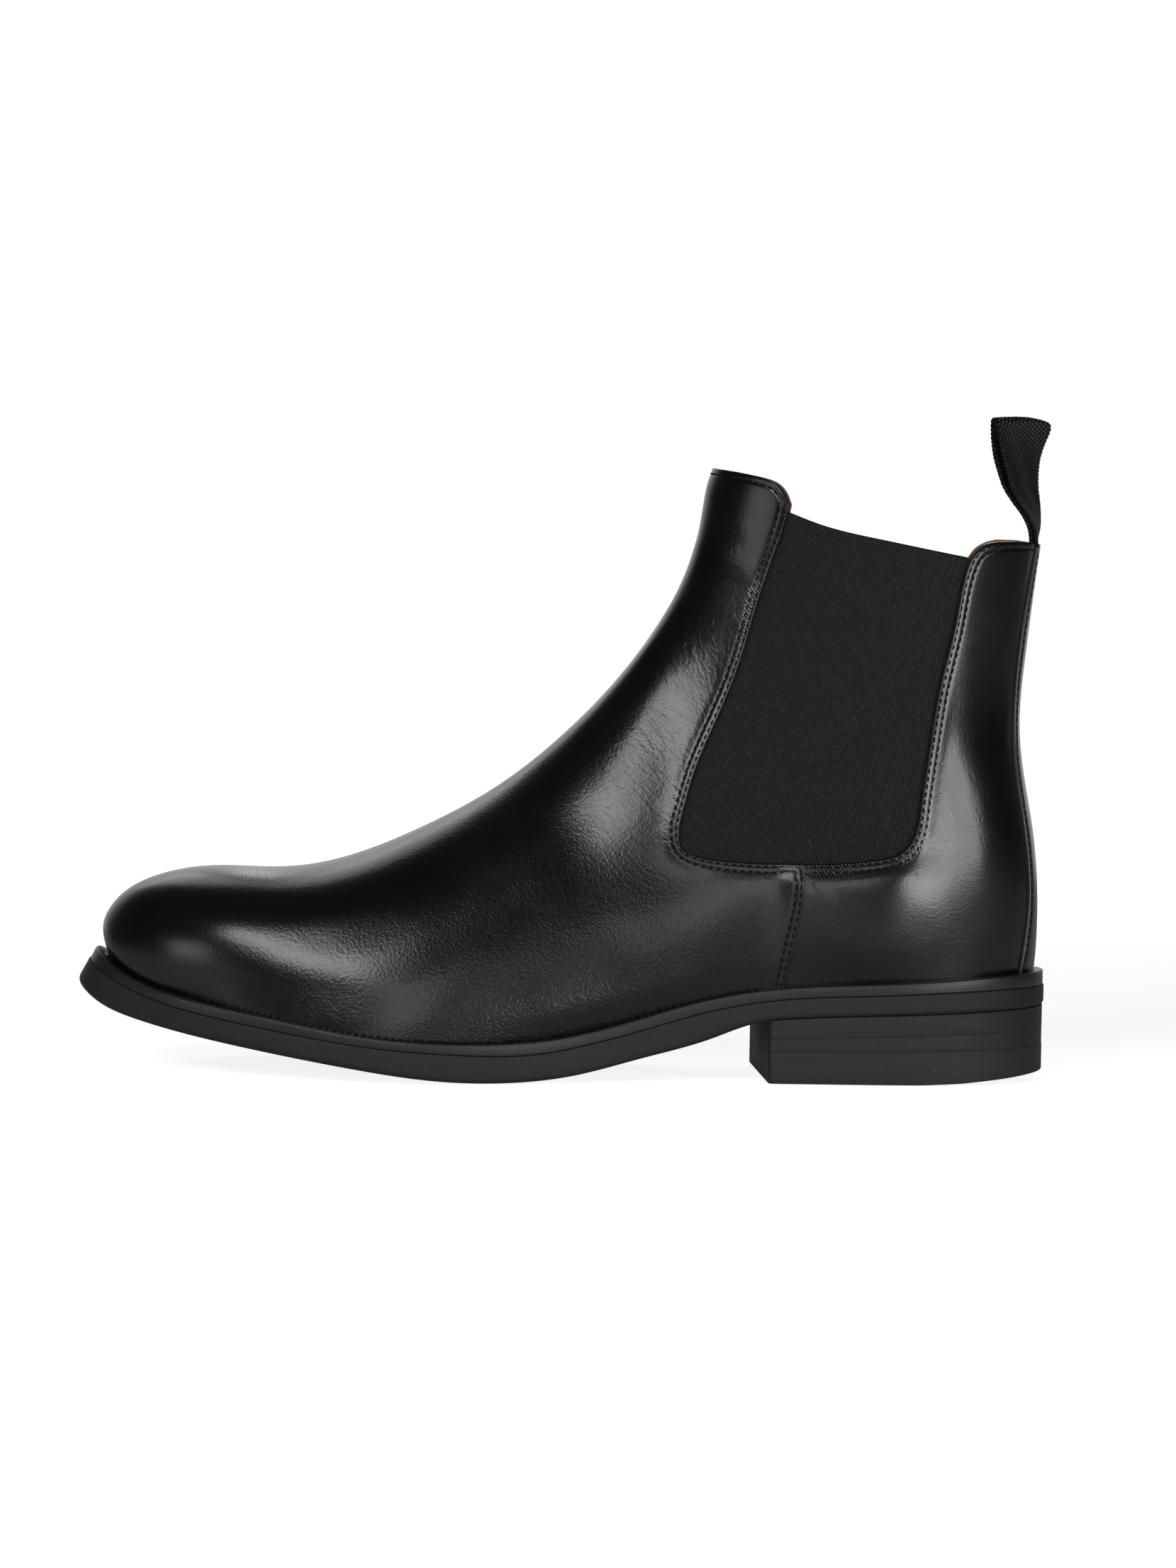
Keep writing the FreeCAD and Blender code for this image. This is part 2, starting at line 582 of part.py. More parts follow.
# shank: spring steel strip let into the cork under the arch
shank_mid = 28.0
shank_plan = doc.addObject("Part::Box", "block_shank")
shank_plan.setExpression("Length", "Sizes.shank_length")
shank_plan.setExpression("Width", "Sizes.shank_width")
shank_plan.setExpression("Height", "60")
shank_plan.setExpression("Placement.Base.x", "%g - Sizes.shank_length / 2" % shank_mid)
shank_plan.setExpression("Placement.Base.y", "-3 - Sizes.shank_width / 2")
shank_top = -0.4
shank_slab = slab("slab_shank", WELT_TOP, WELT_TOP, shank_top - size("shank_thick"), shank_top)
shank = node(common("shank", shank_slab, shank_plan))

insole_top = size("insole_thick")
sock_top = insole_top + size("sock_thick")
insole_raw = common("shape_insole", insole_block,
                    slab("slab_insole", WELT_TOP, WELT_TOP, 0.0, insole_top))
node(common("sock_liner", insole_block,
            slab("slab_sock", WELT_TOP, WELT_TOP, insole_top, sock_top)))

# ---------------------------------------------------------------- heel
setback = size("heel_setback")
heel_round = [p for p in inset(SOLE_OUTLINE, setback) if p[0] > 70.0]
lateral_side = sorted([p for p in heel_round if p[1] < -0.1], key=lambda p: p[0])
medial_side = sorted([p for p in heel_round if p[1] > 0.1], key=lambda p: -p[0])
back_point = [(150.8 - setback, 0.0)]
lateral_corner = (64.6, -34.8)
medial_corner = (60.4, 31.9)
heel_curve = Part.BSplineCurve()
heel_curve.interpolate([Vector(x, y, -5.0) for x, y in
                        [lateral_corner] + lateral_side + back_point + medial_side
                        + [medial_corner]])
breast = Part.makeLine(Vector(medial_corner[0], medial_corner[1], -5.0),
                       Vector(lateral_corner[0], lateral_corner[1], -5.0))
heel_face = static("heel_profile", Part.Face(Part.Wire([heel_curve.toShape(), breast])))
heel_block = doc.addObject("Part::Extrusion", "block_heel")
heel_block.Base = heel_face
heel_block.DirMode = "Custom"
heel_block.Dir = Vector(0, 0, 1)
heel_block.Solid = True
heel_block.LengthFwd = 60.0

nail_places = [(82.0, 0.0), (96.0, -17.0), (96.0, 17.0), (124.0, -14.0), (124.0, 14.0)]
nails = []
for number, (x, y) in enumerate(nail_places, start=1):
    nail = doc.addObject("Part::Cylinder", "nail_%d" % number)
    nail.setExpression("Radius", "Sizes.nail_radius")
    nail.setExpression("Height", "Sizes.nail_length")
    nail.Placement = FreeCAD.Placement(Vector(x, y, 7.0), FreeCAD.Rotation())
    nails.append(nail)
heel_nails = doc.addObject("Part::Compound", "heel_nails")
heel_nails.Links = nails
node(heel_nails)

node(cut("outsole", outsole_raw, heel_nails))
node(cut("cork_filler", cut("shape_cork_shank", cork_raw, shank), heel_nails))
node(cut("insole", insole_raw, heel_nails))
lift_upper_raw = common("shape_lift_upper", heel_block,
                        slab("slab_lift_upper", LIFT_LINE_UPPER, LIFT_LINE_UPPER, 0.0, 9.0))
lift_upper_fitted = cut("shape_lift_upper_fitted", lift_upper_raw, outsole_raw)
node(cut("heel_lift_upper", lift_upper_fitted, heel_nails))
lift_lower_raw = common("shape_lift_lower", heel_block,
                        slab("slab_lift_lower", LIFT_LINE_LOWER, LIFT_LINE_UPPER))
node(cut("heel_lift_lower", lift_lower_raw, heel_nails))
top_piece_raw = common("shape_top_piece", heel_block, side_block("slab_top_piece", [
    ("straight", HEEL_BOTTOM),
    ("smooth", LIFT_LINE_LOWER[::-1]),
]))
node(cut("heel_top_piece", top_piece_raw, heel_nails))

# ---------------------------------------------------------------- welt stitching
# One row of lock stitches on the welt, just outside the upper.
stitch_line = inset(feather_outline(0.0, 0.3), -size("stitch_out"))
stitch_curve = Part.BSplineCurve()
stitch_curve.interpolate([Vector(x, y, 0.0) for x, y in stitch_line], PeriodicFlag=True)
stitch_points = [Vector(p.x, p.y, height_on(feather, p.x) + 0.02)
                 for p in stitch_curve.toShape().discretize(Number=196)]
stitches = []
for here, there in zip(stitch_points, stitch_points[1:]):
    if max(here.x, there.x) < 64.0:
        run = there - here
        stitches.append(Part.makeCylinder(0.38, run.Length * 0.8, here + run * 0.1, run))
node(static("welt_stitching", Part.makeCompound(stitches)))

# ---------------------------------------------------------------- pull tab
TAB_CENTRE = [(0.0, 145.2, 0.0), (0.07, 145.2, 0.0), (0.32, 142.9, 16.0), (0.46, 141.2, 31.0),
              (0.64, 139.7, 43.0), (0.79, 140.5, 60.0), (1.0, 140.4, 80.0)]
TAB_FOOT = 166.9


def tab_at(share):
    """Centre x and twist (degrees) at a share of the tab's height."""
    for (a, xa, ta), (b, xb, tb) in zip(TAB_CENTRE, TAB_CENTRE[1:]):
        if a <= share <= b + 1e-9:
            f = (share - a) / (b - a)
            f = f * f * (3.0 - 2.0 * f)
            return xa + (xb - xa) * f, ta + (tb - ta) * f
    return TAB_CENTRE[-1][1], TAB_CENTRE[-1][2]


def tab_grid(path, across):
    grid = []
    for rise, off in path:
        x, twist = tab_at(min(max(rise / size("tab_height"), 0.0), 1.0))
        turn = math.radians(twist)
        wide = Vector(math.sin(turn), math.cos(turn), 0.0)
        thick = Vector(math.cos(turn), -math.sin(turn), 0.0)
        row = []
        for share in across:
            row.append(Vector(x, 0.0, TAB_FOOT + rise) + wide * (share * half_tab) + thick * off)
        grid.append(row)
    return grid


def tab_path(offset):
    """Loop path (rise, sideways); offset moves it off the webbing's middle."""
    thick = size("tab_thick")
    loop = 1.55
    top = size("tab_height") - loop - 0.5 * thick
    up = []
    for i in range(15):
        rise = top * i / 14.0
        open_share = min(max((rise - 6.0) / 18.0, 0.0), 1.0)
        open_share = open_share * open_share * (3.0 - 2.0 * open_share)
        up.append((rise, 0.5 * thick + 0.05 + (loop - 0.5 * thick - 0.05) * open_share))
    path = [(rise, -(gap + offset)) for rise, gap in up]
    for i in range(1, 8):
        turn = math.pi * i / 8.0
        reach = loop + offset
        path.append((top + reach * math.sin(turn), -reach * math.cos(turn)))
    path += [(rise, gap + offset) for rise, gap in up[::-1]]
    return path


ACROSS = [-1.0, -0.5, 0.0, 0.5, 1.0]
half_web = 0.5 * size("tab_thick")
node(static("pull_tab", solid_between(tab_grid(tab_path(half_web), ACROSS),
                                      tab_grid(tab_path(-half_web), ACROSS))))

# ---------------------------------------------------------------- checks and export
doc.recompute()
bad = []
for obj in doc.Objects:
    if "Invalid" in obj.State or "Error" in obj.State:
        bad.append("%s: %s" % (obj.Label, obj.State))
for obj in nodes:
    if obj.Shape.isNull() or not obj.Shape.isValid() or not obj.Shape.Solids:
        bad.append("%s: shape" % obj.Label)
if bad:
    raise RuntimeError("bad shapes: " + "; ".join(bad))
for obj in nodes:
    box = obj.Shape.BoundBox
    print("%-24s solids %3d vol %9.1f  x %7.1f %7.1f y %6.1f %6.1f z %6.1f %6.1f" % (
        obj.Label, len(obj.Shape.Solids), obj.Shape.Volume, box.XMin, box.XMax,
        box.YMin, box.YMax, box.ZMin, box.ZMax))
os.makedirs("parts", exist_ok=True)
for obj in nodes:
    obj.Shape.exportStep(os.path.join("parts", obj.Label + ".step"))
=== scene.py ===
import math

import bpy
import numpy as np
from mathutils import Matrix, Vector
from mathutils.geometry import delaunay_2d_cdt
from mathutils.kdtree import KDTree


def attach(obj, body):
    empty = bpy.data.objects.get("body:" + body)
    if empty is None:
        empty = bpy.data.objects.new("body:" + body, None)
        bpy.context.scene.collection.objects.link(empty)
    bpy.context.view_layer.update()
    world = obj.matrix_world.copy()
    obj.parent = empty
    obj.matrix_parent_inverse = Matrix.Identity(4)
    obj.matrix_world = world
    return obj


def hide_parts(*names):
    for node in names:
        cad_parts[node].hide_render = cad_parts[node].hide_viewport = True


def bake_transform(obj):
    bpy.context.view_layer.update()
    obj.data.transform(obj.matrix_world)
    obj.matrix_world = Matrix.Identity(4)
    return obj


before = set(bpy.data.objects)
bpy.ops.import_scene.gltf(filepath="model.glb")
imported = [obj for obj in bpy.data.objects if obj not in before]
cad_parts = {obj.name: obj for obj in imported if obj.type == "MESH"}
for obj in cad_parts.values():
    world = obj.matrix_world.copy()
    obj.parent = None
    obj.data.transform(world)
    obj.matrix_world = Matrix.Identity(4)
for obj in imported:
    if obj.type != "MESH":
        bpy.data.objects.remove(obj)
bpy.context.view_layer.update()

# Looks of a left chelsea boot.  All shapes are worked out in millimetres in the CAD
# frame (toe -X, outer side -Y, floor Z = 0) and written to the meshes in metres.
MM = 0.001

# ------------------------------------------------------------------ the upper's surface
# Fan sections: ridge x, z, far x, z, half width, centre y far, y of ridge, widest
# share, roundness exponents.  The same sections shape the CAD upper.
SECTIONS = np.array([
    (-131.0, 20.0, -124.0, -4.0, 12.4, 3.6, 3.6, 0.50, 2.00, 2.2),
    (-137.5, 30.0, -121.0, -12.0, 15.8, 3.7, 3.8, 0.50, 2.00, 2.4),
    (-141.6, 40.5, -111.0, -20.0, 20.0, 3.8, 4.2, 0.52, 2.00, 2.4),
    (-139.4, 48.3, -102.0, -23.0, 25.8, 3.8, 4.4, 0.56, 2.05, 2.5),
    (-132.5, 54.9, -96.0, -24.0, 31.6, 3.4, 4.4, 0.60, 2.10, 2.6),
    (-120.5, 59.6, -90.0, -25.0, 37.2, 2.4, 4.2, 0.63, 2.15, 2.7),
    (-105.0, 61.5, -82.5, -25.0, 41.9, 1.0, 4.0, 0.63, 2.20, 2.8),
    (-86.0, 61.4, -73.0, -25.0, 45.4, -0.6, 3.8, 0.61, 2.20, 3.0),
    (-66.0, 65.1, -60.0, -25.0, 47.4, -2.2, 3.8, 0.57, 2.15, 3.0),
    (-43.5, 74.3, -41.0, -24.0, 46.3, -3.9, 4.0, 0.51, 2.05, 2.8),
    (-19.0, 88.2, -13.0, -22.0, 40.6, -5.0, 4.0, 0.47, 2.00, 2.6),
    (2.7, 106.3, 20.0, -18.0, 34.8, -4.8, 3.2, 0.46, 2.05, 2.45),
    (19.0, 124.2, 57.0, -14.0, 32.3, -3.2, 2.2, 0.46, 2.15, 2.5),
    (30.2, 140.3, 98.0, -12.0, 32.0, -1.5, 1.4, 0.47, 2.20, 2.6),
    (36.4, 152.2, 129.0, -6.0, 32.3, -0.5, 0.8, 0.47, 2.20, 2.4),
    (39.6, 161.3, 143.8, 20.0, 32.3, 0.0, 0.4, 0.46, 2.15, 2.1),
    (41.2, 167.4, 147.2, 47.0, 32.0, 0.0, 0.2, 0.46, 2.05, 2.1),
    (42.1, 172.7, 145.6, 75.0, 31.6, 0.0, 0.0, 0.46, 2.00, 2.1),
    (42.8, 177.5, 140.9, 104.0, 31.4, 0.0, 0.0, 0.47, 2.00, 2.05),
    (43.7, 182.2, 142.3, 133.0, 31.8, 0.0, 0.0, 0.48, 2.00, 2.0),
    (45.4, 187.5, 146.2, 166.0, 32.6, 0.0, 0.0, 0.50, 2.00, 2.0),
    (48.5, 197.5, 149.8, 185.0, 33.2, 0.0, 0.0, 0.50, 2.00, 2.0),
])
LAST = len(SECTIONS) - 1


def moments(rows, gap):
    """Second derivatives of the natural cubic spline through rows that gaps part."""
    n = len(rows)
    a = np.eye(n)
    b = np.zeros_like(rows)
    for i in range(1, n - 1):
        a[i, i - 1:i + 2] = (gap[i - 1], 2.0 * (gap[i - 1] + gap[i]), gap[i])
        b[i] = 6.0 * ((rows[i + 1] - rows[i]) / gap[i] - (rows[i] - rows[i - 1]) / gap[i - 1])
    return np.linalg.solve(a, b)


SECTION_MOMENTS = moments(SECTIONS, np.ones(LAST))


def unit(vectors):
    return vectors / np.linalg.norm(vectors, axis=-1, keepdims=True)


def lengths_along(points):
    """Length along a line of points, from its start to each point."""
    return np.concatenate([[0.0], np.cumsum(np.linalg.norm(np.diff(points, axis=0), axis=1))])


def to_the_left(line):
    """Unit vectors to the left of a flat line."""
    tangent = unit(np.gradient(line, axis=0))
    return np.stack([-tangent[:, 1], tangent[:, 0]], -1)


def surface(v, a):
    """Outer leather face at section number v and angle a (0 ridge, pi back)."""
    v, a = np.broadcast_arrays(np.asarray(v, float), np.asarray(a, float))
    i = np.clip(np.floor(v).astype(int), 0, LAST - 1)
    f = (v - i)[..., None]
    g = 1.0 - f
    row = g * SECTIONS[i] + f * SECTIONS[i + 1]
    row = row + ((g ** 3 - g) * SECTION_MOMENTS[i] + (f ** 3 - f) * SECTION_MOMENTS[i + 1]) / 6.0
    dx, dz, bx, bz, half, low_y, ridge_y, widest, up_pow, low_pow = np.moveaxis(row, -1, 0)
    c, s = np.cos(a), np.sin(a)
    power = np.where(c > 0.0, up_pow, low_pow)
    reach = np.abs(c) ** (2.0 / power)
    share = np.where(c > 0.0, widest + (1.0 - widest) * reach, widest * (1.0 - reach))
    y = -np.sign(s) * np.abs(s) ** (2.0 / power) * half + ridge_y * share + low_y * (1.0 - share)
    return np.stack([bx + (dx - bx) * share, y, bz + (dz - bz) * share], -1)


def slopes(v, a, step=0.01):
    along = (surface(v + step, a) - surface(v - step, a)) / (2.0 * step)
    around = (surface(v, a + step) - surface(v, a - step)) / (2.0 * step)
    return along, around


def inward(v, a):
    return unit(np.cross(*slopes(v, a)))


def at_height(v, a, height):
    """Point above (positive) or below the outer leather face."""
    return surface(v, a) - inward(v, a) * np.asarray(height, float)[..., None]


# ------------------------------------------------------------------ lines from the side
WELT_BOTTOM = [(-165.0, 41.0), (-146.6, 31.3), (-127.2, 23.4), (-97.5, 16.9), (-72.4, 12.9),
               (-49.8, 10.1), (-27.6, 8.6), (-5.2, 8.9), (5.8, 10.8), (24.7, 15.6), (44.0, 21.2),
               (63.3, 25.0), (97.8, 27.2), (128.4, 28.6), (165.0, 29.4)]
WELT_TOP = [(-165.0, 44.0), (-144.9, 34.2), (-130.7, 28.0), (-97.6, 20.5), (-72.5, 16.1),
            (-49.8, 13.2), (-27.6, 12.1), (-5.3, 12.9), (5.8, 14.6), (24.6, 19.4), (43.9, 25.0),
            (63.3, 28.6), (97.7, 30.8), (128.3, 32.6), (165.0, 34.4)]
SOLE_BOTTOM = [(-160.0, 33.0), (-149.4, 26.0), (-137.2, 19.0), (-125.7, 15.4), (-103.2, 10.8),
               (-81.2, 7.2), (-59.6, 3.8), (-38.1, 0.9), (-20.0, 0.0), (-6.0, 0.6), (4.5, 2.0),
               (25.9, 7.4), (47.3, 13.6), (60.0, 18.2), (72.0, 19.8), (108.5, 21.3),
               (165.0, 23.6)]
LIFT_LINE_UPPER = [(50.0, 13.1), (108.0, 14.9), (165.0, 16.8)]
LIFT_LINE_LOWER = [(50.0, 9.5), (108.0, 10.3), (165.0, 11.0)]
HEEL_BOTTOM = [(50.0, 0.0), (112.0, 0.0), (124.0, 0.4), (138.0, 1.5), (165.0, 4.2)]
WINDOW_FRONT = [(68.0, 176.3), (67.2, 172.5), (62.4, 157.4), (57.3, 140.1), (52.1, 122.8),
                (45.9, 107.6), (40.7, 94.5), (37.7, 83.7), (36.3, 76.1), (37.2, 71.8),
                (42.2, 69.0), (49.8, 67.8), (67.0, 67.1), (75.0, 67.2)]
WINDOW_REAR = [(75.0, 67.2), (84.3, 67.4), (97.2, 68.8), (104.8, 71.2), (108.4, 76.3),
               (109.9, 84.2), (112.3, 102.0), (115.9, 123.7), (119.9, 141.0), (123.5, 158.3),
               (125.6, 162.4), (128.6, 164.9), (132.6, 165.9)]
VAMP_TOP = [(30.0, 189.8), (44.8, 187.5), (52.6, 186.2), (59.2, 184.8), (63.6, 183.1),
            (66.4, 180.2), (68.0, 176.3)]
QUARTER_TOP = [(132.6, 165.9), (140.0, 166.1), (147.0, 165.3), (165.0, 163.0)]
SIDE_SEAM = [(75.0, 67.2), (74.3, 54.2), (72.1, 43.4), (69.7, 31.5), (67.0, 18.0)]
STRIP_EDGE = [(146.6, 175.0), (144.8, 162.5), (140.6, 136.1), (139.0, 114.2), (139.7, 96.6),
              (143.0, 74.8), (144.2, 63.8), (144.0, 48.4), (142.8, 39.7), (140.5, 25.0)]
ELASTIC_TOP = [(52.0, 180.2), (59.4, 177.4), (68.0, 173.9), (82.8, 168.9), (100.1, 165.3),
               (125.0, 160.7), (140.0, 158.2)]


def smooth(points, pitch=0.8, closed=False):
    """Cubic spline through points, sampled about every pitch millimetres."""
    p = np.asarray(points, float)
    if closed:
        wrap = 4
        p = np.vstack([p[-wrap:], p, p[:wrap + 1]])
    t = lengths_along(p)
    gap = np.diff(t)
    m = moments(p, gap)
    start, stop = (t[wrap], t[-wrap - 1]) if closed else (t[0], t[-1])
    count = max(int(round((stop - start) / pitch)), 2)
    s = np.linspace(start, stop, count + 1)
    if closed:
        s = s[:-1]
    i = np.clip(np.searchsorted(t, s, side="right") - 1, 0, len(p) - 2)
    h = gap[i][:, None]
    g = ((t[i + 1] - s) / gap[i])[:, None]
    f = 1.0 - g
    return g * p[i] + f * p[i + 1] + ((g ** 3 - g) * m[i] + (f ** 3 - f) * m[i + 1]) * h * h / 6.0


def level(line):
    """Height as a function of x along a smooth side line."""
    fine = smooth(line, 0.5)
    return lambda x: np.interp(x, fine[:, 0], fine[:, 1])


welt_top = level(WELT_TOP)
welt_bottom = level(WELT_BOTTOM)
sole_bottom = level(SOLE_BOTTOM)
lift_upper = level(LIFT_LINE_UPPER)
lift_lower = level(LIFT_LINE_LOWER)
vamp_top = level(VAMP_TOP[:5] + [(70.0, 179.0)])
quarter_top = level(QUARTER_TOP)


def heel_bottom(x):
    line = np.array(HEEL_BOTTOM)
    return np.interp(x, line[:, 0], line[:, 1])


def ease(t):
    t = np.clip(t, 0.0, 1.0)
    return t * t * (3.0 - 2.0 * t)


def find(test, low, high, rounds=40):
    """Bisection on arrays: where test changes sign between low and high."""
    low = np.array(low, float)
    high = np.array(high, float)
    top = test(high) > 0.0
    for _ in range(rounds):
        mid = 0.5 * (low + high)
        same = (test(mid) > 0.0) == top
        high = np.where(same, mid, high)
        low = np.where(same, low, mid)
    return 0.5 * (low + high)


def over(line, v, a, drop=0.0):
    """How far the surface lies above a side line lowered by drop."""
    p = surface(v, a)
    return p[:, 2] - line(p[:, 0]) + drop


def angle_at(line, v, side, drop):
    """Angles where sections of one side meet a lowered side line, from the back."""
    return side * find(lambda a: over(line, v, side * a, drop), np.full(len(v), math.pi),
                       np.zeros(len(v)))


def section_at(line, a, low, high, drop=0.0):
    """Section numbers between low and high where angles meet a lowered side line."""
    return find(lambda v: over(line, v, a, drop), np.full(len(a), low), np.full(len(a), high))


GRID_V, GRID_A = np.meshgrid(np.linspace(0.0, LAST, 6 * LAST + 1), np.linspace(0.01, 3.13, 90),
                             indexing="ij")
SIDE_GRID = {side: surface(GRID_V, side * GRID_A)[..., ::2].reshape(-1, 2) for side in (1, -1)}


def from_side(points, side):
    """(angle, section) of side-view points on the outer (1) or inner (-1) side."""
    points = np.asarray(points, float)
    near = [np.argmin(((SIDE_GRID[side] - p) ** 2).sum(-1)) for p in points]
    v = GRID_V.ravel()[near]
    a = side * GRID_A.ravel()[near]
    for _ in range(12):
        here = surface(v, a)
        along, around = slopes(v, a, 0.003)
        ex = points[:, 0] - here[:, 0]
        ez = points[:, 1] - here[:, 2]
        det = along[:, 0] * around[:, 2] - along[:, 2] * around[:, 0]
        det = np.where(np.abs(det) < 1.0, np.sign(det) + (det == 0), det)
        dv = (ex * around[:, 2] - ez * around[:, 0]) / det
        da = (ez * along[:, 0] - ex * along[:, 2]) / det
        v = np.clip(v + np.clip(dv, -0.5, 0.5), 0.0, LAST + 0.4)
        a = side * np.clip(side * (a + np.clip(da, -0.3, 0.3)), 0.001, math.pi - 0.001)
    return np.stack([a, v], -1)


def top_edge(line, a_from, a_to, count, low, high):
    """Line where the surface meets a side line near the top, by angle."""
    a = np.linspace(a_from, a_to, count)
    return np.stack([a, section_at(line, a, low, high)], -1)


def points_on(path):
    return surface(path[:, 1], path[:, 0])


def resample(path, pitch):
    """(angle, section) path resampled by real length."""
    t = lengths_along(points_on(path))
    count = max(int(round(t[-1] / pitch)), 1)
    s = np.linspace(0.0, t[-1], count + 1)
    return np.stack([np.interp(s, t, path[:, 0]), np.interp(s, t, path[:, 1])], -1)


def march(path, distance):
    """The path moved sideways over the surface: positive to its left seen from outside."""
    path = path.copy()
    steps = max(int(math.ceil(abs(distance) / 0.8)), 1)
    for _ in range(steps):
        tangent = np.gradient(points_on(path), axis=0)
        tangent /= np.linalg.norm(tangent, axis=1, keepdims=True) + 1e-9
        normal = -inward(path[:, 1], path[:, 0])
        move = np.cross(normal, tangent) * (distance / steps)
        along, around = slopes(path[:, 1], path[:, 0], 0.004)
        aa = (along * along).sum(-1)
        bb = (around * around).sum(-1)
        ab = (along * around).sum(-1)
        ma = (along * move).sum(-1)
        mb = (around * move).sum(-1)
        det = aa * bb - ab * ab
        path[:, 1] += (ma * bb - mb * ab) / det
        path[:, 0] += (mb * aa - ma * ab) / det
    return path


# ------------------------------------------------------------------ mesh helpers
SCALE_A, SCALE_V = 34.0, 11.0


def new_object(name, verts, faces, material):
    mesh = bpy.data.meshes.new(name)
    mesh.from_pydata((np.asarray(verts) * MM).tolist(), [], faces)
    mesh.validate()
    mesh.materials.append(material)
    mesh.polygons.foreach_set("use_smooth", [True] * len(mesh.polygons))
    mesh.update()
    obj = bpy.data.objects.new(name, mesh)
    bpy.context.scene.collection.objects.link(obj)
    return obj


def add_attribute(obj, name, values):
    data = obj.data.attributes.new(name, "FLOAT", "POINT")
    data.data.foreach_set("value", np.asarray(values, dtype=np.float32))


def inside_polygon(points, polygon):
    x, y = points[:, 0], points[:, 1]
    result = np.zeros(len(points), bool)
    px, py = polygon[:, 0], polygon[:, 1]
    qx, qy = np.roll(px, -1), np.roll(py, -1)
    for ax, ay, bx, by in zip(px, py, qx, qy):
        cross = (ay > y) != (by > y)
        if not cross.any():
            continue
        at = (bx - ax) * (y - ay) / (by - ay + 1e-12) + ax
        result ^= cross & (x < at)
    return result


def tree_of(points):
    tree = KDTree(len(points))
    for i, p in enumerate(points):
        tree.insert(p, i)
    tree.balance()
    return tree


def distances(tree, points):
    return np.array([tree.find(p)[2] for p in points])


def fill_plane(loop, extra):
    """Delaunay triangles inside a closed 2D loop with extra points; (points, triangles)."""
    count = len(loop)
    points = [Vector(p) for p in np.vstack([loop, extra])]
    edges = [(i, (i + 1) % count) for i in range(count)]
    out, _, tris, origin, _, _ = delaunay_2d_cdt(points, edges, [], 1, 1e-5)
    return np.array([tuple(p) for p in out]), [tuple(t) for t in tris], origin


def staggered(loop, wide, tall):
    """Grid points inside a loop, every second row shifted by half a step."""
    low, high = loop.min(0), loop.max(0)
    gx, gy = np.meshgrid(np.arange(low[0], high[0], wide), np.arange(low[1], high[1], tall))
    gx[1::2] += 0.5 * wide
    grid = np.stack([gx.ravel(), gy.ravel()], -1)
    return grid[inside_polygon(grid, loop)]


RINGS = (0.12, 0.3, 0.5, 0.7, 0.9, 1.1, 1.35, 1.7, 2.1, 2.4, 2.65, 2.9, 3.3, 3.9, 4.8, 6.0)
LINING_RINGS = (0.2, 0.5, 0.9, 1.6, 3.0)
ROW_HEIGHT = 0.87
CLEAR_OF_EDGE = 0.7


def patch(name, loop, free, height, material, spacing=2.2, wall=None, inner=None, rings=RINGS,
          swells=False):
    """A piece of the upper.

    loop is its closed outline in (angle, section), free marks the outline points whose
    edge is seen, height(points, distance) gives the face height, wall is the depth its
    free edge reaches down to, and inner adds a second face at that depth.
    """
    loop = np.asarray(loop)
    flat = loop * (SCALE_A, SCALE_V)
    area = np.sum(flat[:, 0] * np.roll(flat[:, 1], -1) - np.roll(flat[:, 0], -1) * flat[:, 1])
    if area < 0.0:
        loop, free, flat = loop[::-1], free[::-1], flat[::-1]
    edge_points = points_on(loop)
    free_tree = tree_of(edge_points[free])
    edge_tree = tree_of(edge_points)
    # rows of points along the free edges, where the face is rolled and grooved
    near = []
    for distance in rings:
        ring = march(np.vstack([loop[-3:], loop, loop[:3]]), distance)[3:-3][free]
        near.append(ring[distances(edge_tree, points_on(ring)) > 0.93 * distance])
    grid = staggered(flat, spacing, spacing * ROW_HEIGHT) / (SCALE_A, SCALE_V)
    p = points_on(grid)
    keep = distances(edge_tree, p) > CLEAR_OF_EDGE
    keep &= distances(free_tree, p) > rings[-1] + 0.6
    extra = np.vstack(near + [grid[keep]])
    extra = extra[inside_polygon(extra * (SCALE_A, SCALE_V), flat)]
    points, tris, origin = fill_plane(flat, extra * (SCALE_A, SCALE_V))
    params = points / (SCALE_A, SCALE_V)
    v, a = params[:, 1], params[:, 0]
    where = points_on(params)
    edge_distance = distances(free_tree, where)
    normal = -inward(v, a)
    lift = height(where, edge_distance)
    if swells:
        lift = lift + relief(where, normal)
    verts = [at_height(v, a, lift)]
    faces = orient(verts[0], tris, normal)
    edge_value = [edge_distance]
    total = count = len(params)
    index_of = {j: i for i, ids in enumerate(origin) for j in ids if j < len(loop)}
    rows = [index_of]
    if inner is not None:
        verts.append(at_height(v, a, np.full(count, -inner)))
        edge_value.append(edge_distance)
        faces += [tuple(i + count for i in t[::-1]) for t in faces]
        total = 2 * count
    bottom = wall if inner is None else inner
    js = sorted(index_of)
    start = lift[[index_of[j] for j in js]]
    for share in (0.5, 1.0) if inner is None else (0.5,):
        verts.append(at_height(loop[js, 1], loop[js, 0], start + (-bottom - start) * share))
        edge_value.append(np.full(len(js), -share))
        rows.append({j: total + k for k, j in enumerate(js)})
        total += len(js)
    if inner is not None:
        rows.append({j: i + count for j, i in index_of.items()})
    for j in js:
        k = (j + 1) % len(loop)
        if k in index_of and ((free[j] and free[k]) or inner is not None):
            for upper, lower in zip(rows, rows[1:]):
                faces.append((upper[j], lower[j], lower[k], upper[k]))
    obj = new_object(name, np.vstack(verts), faces, material)
    add_attribute(obj, "edge", np.concatenate(edge_value))
    return obj


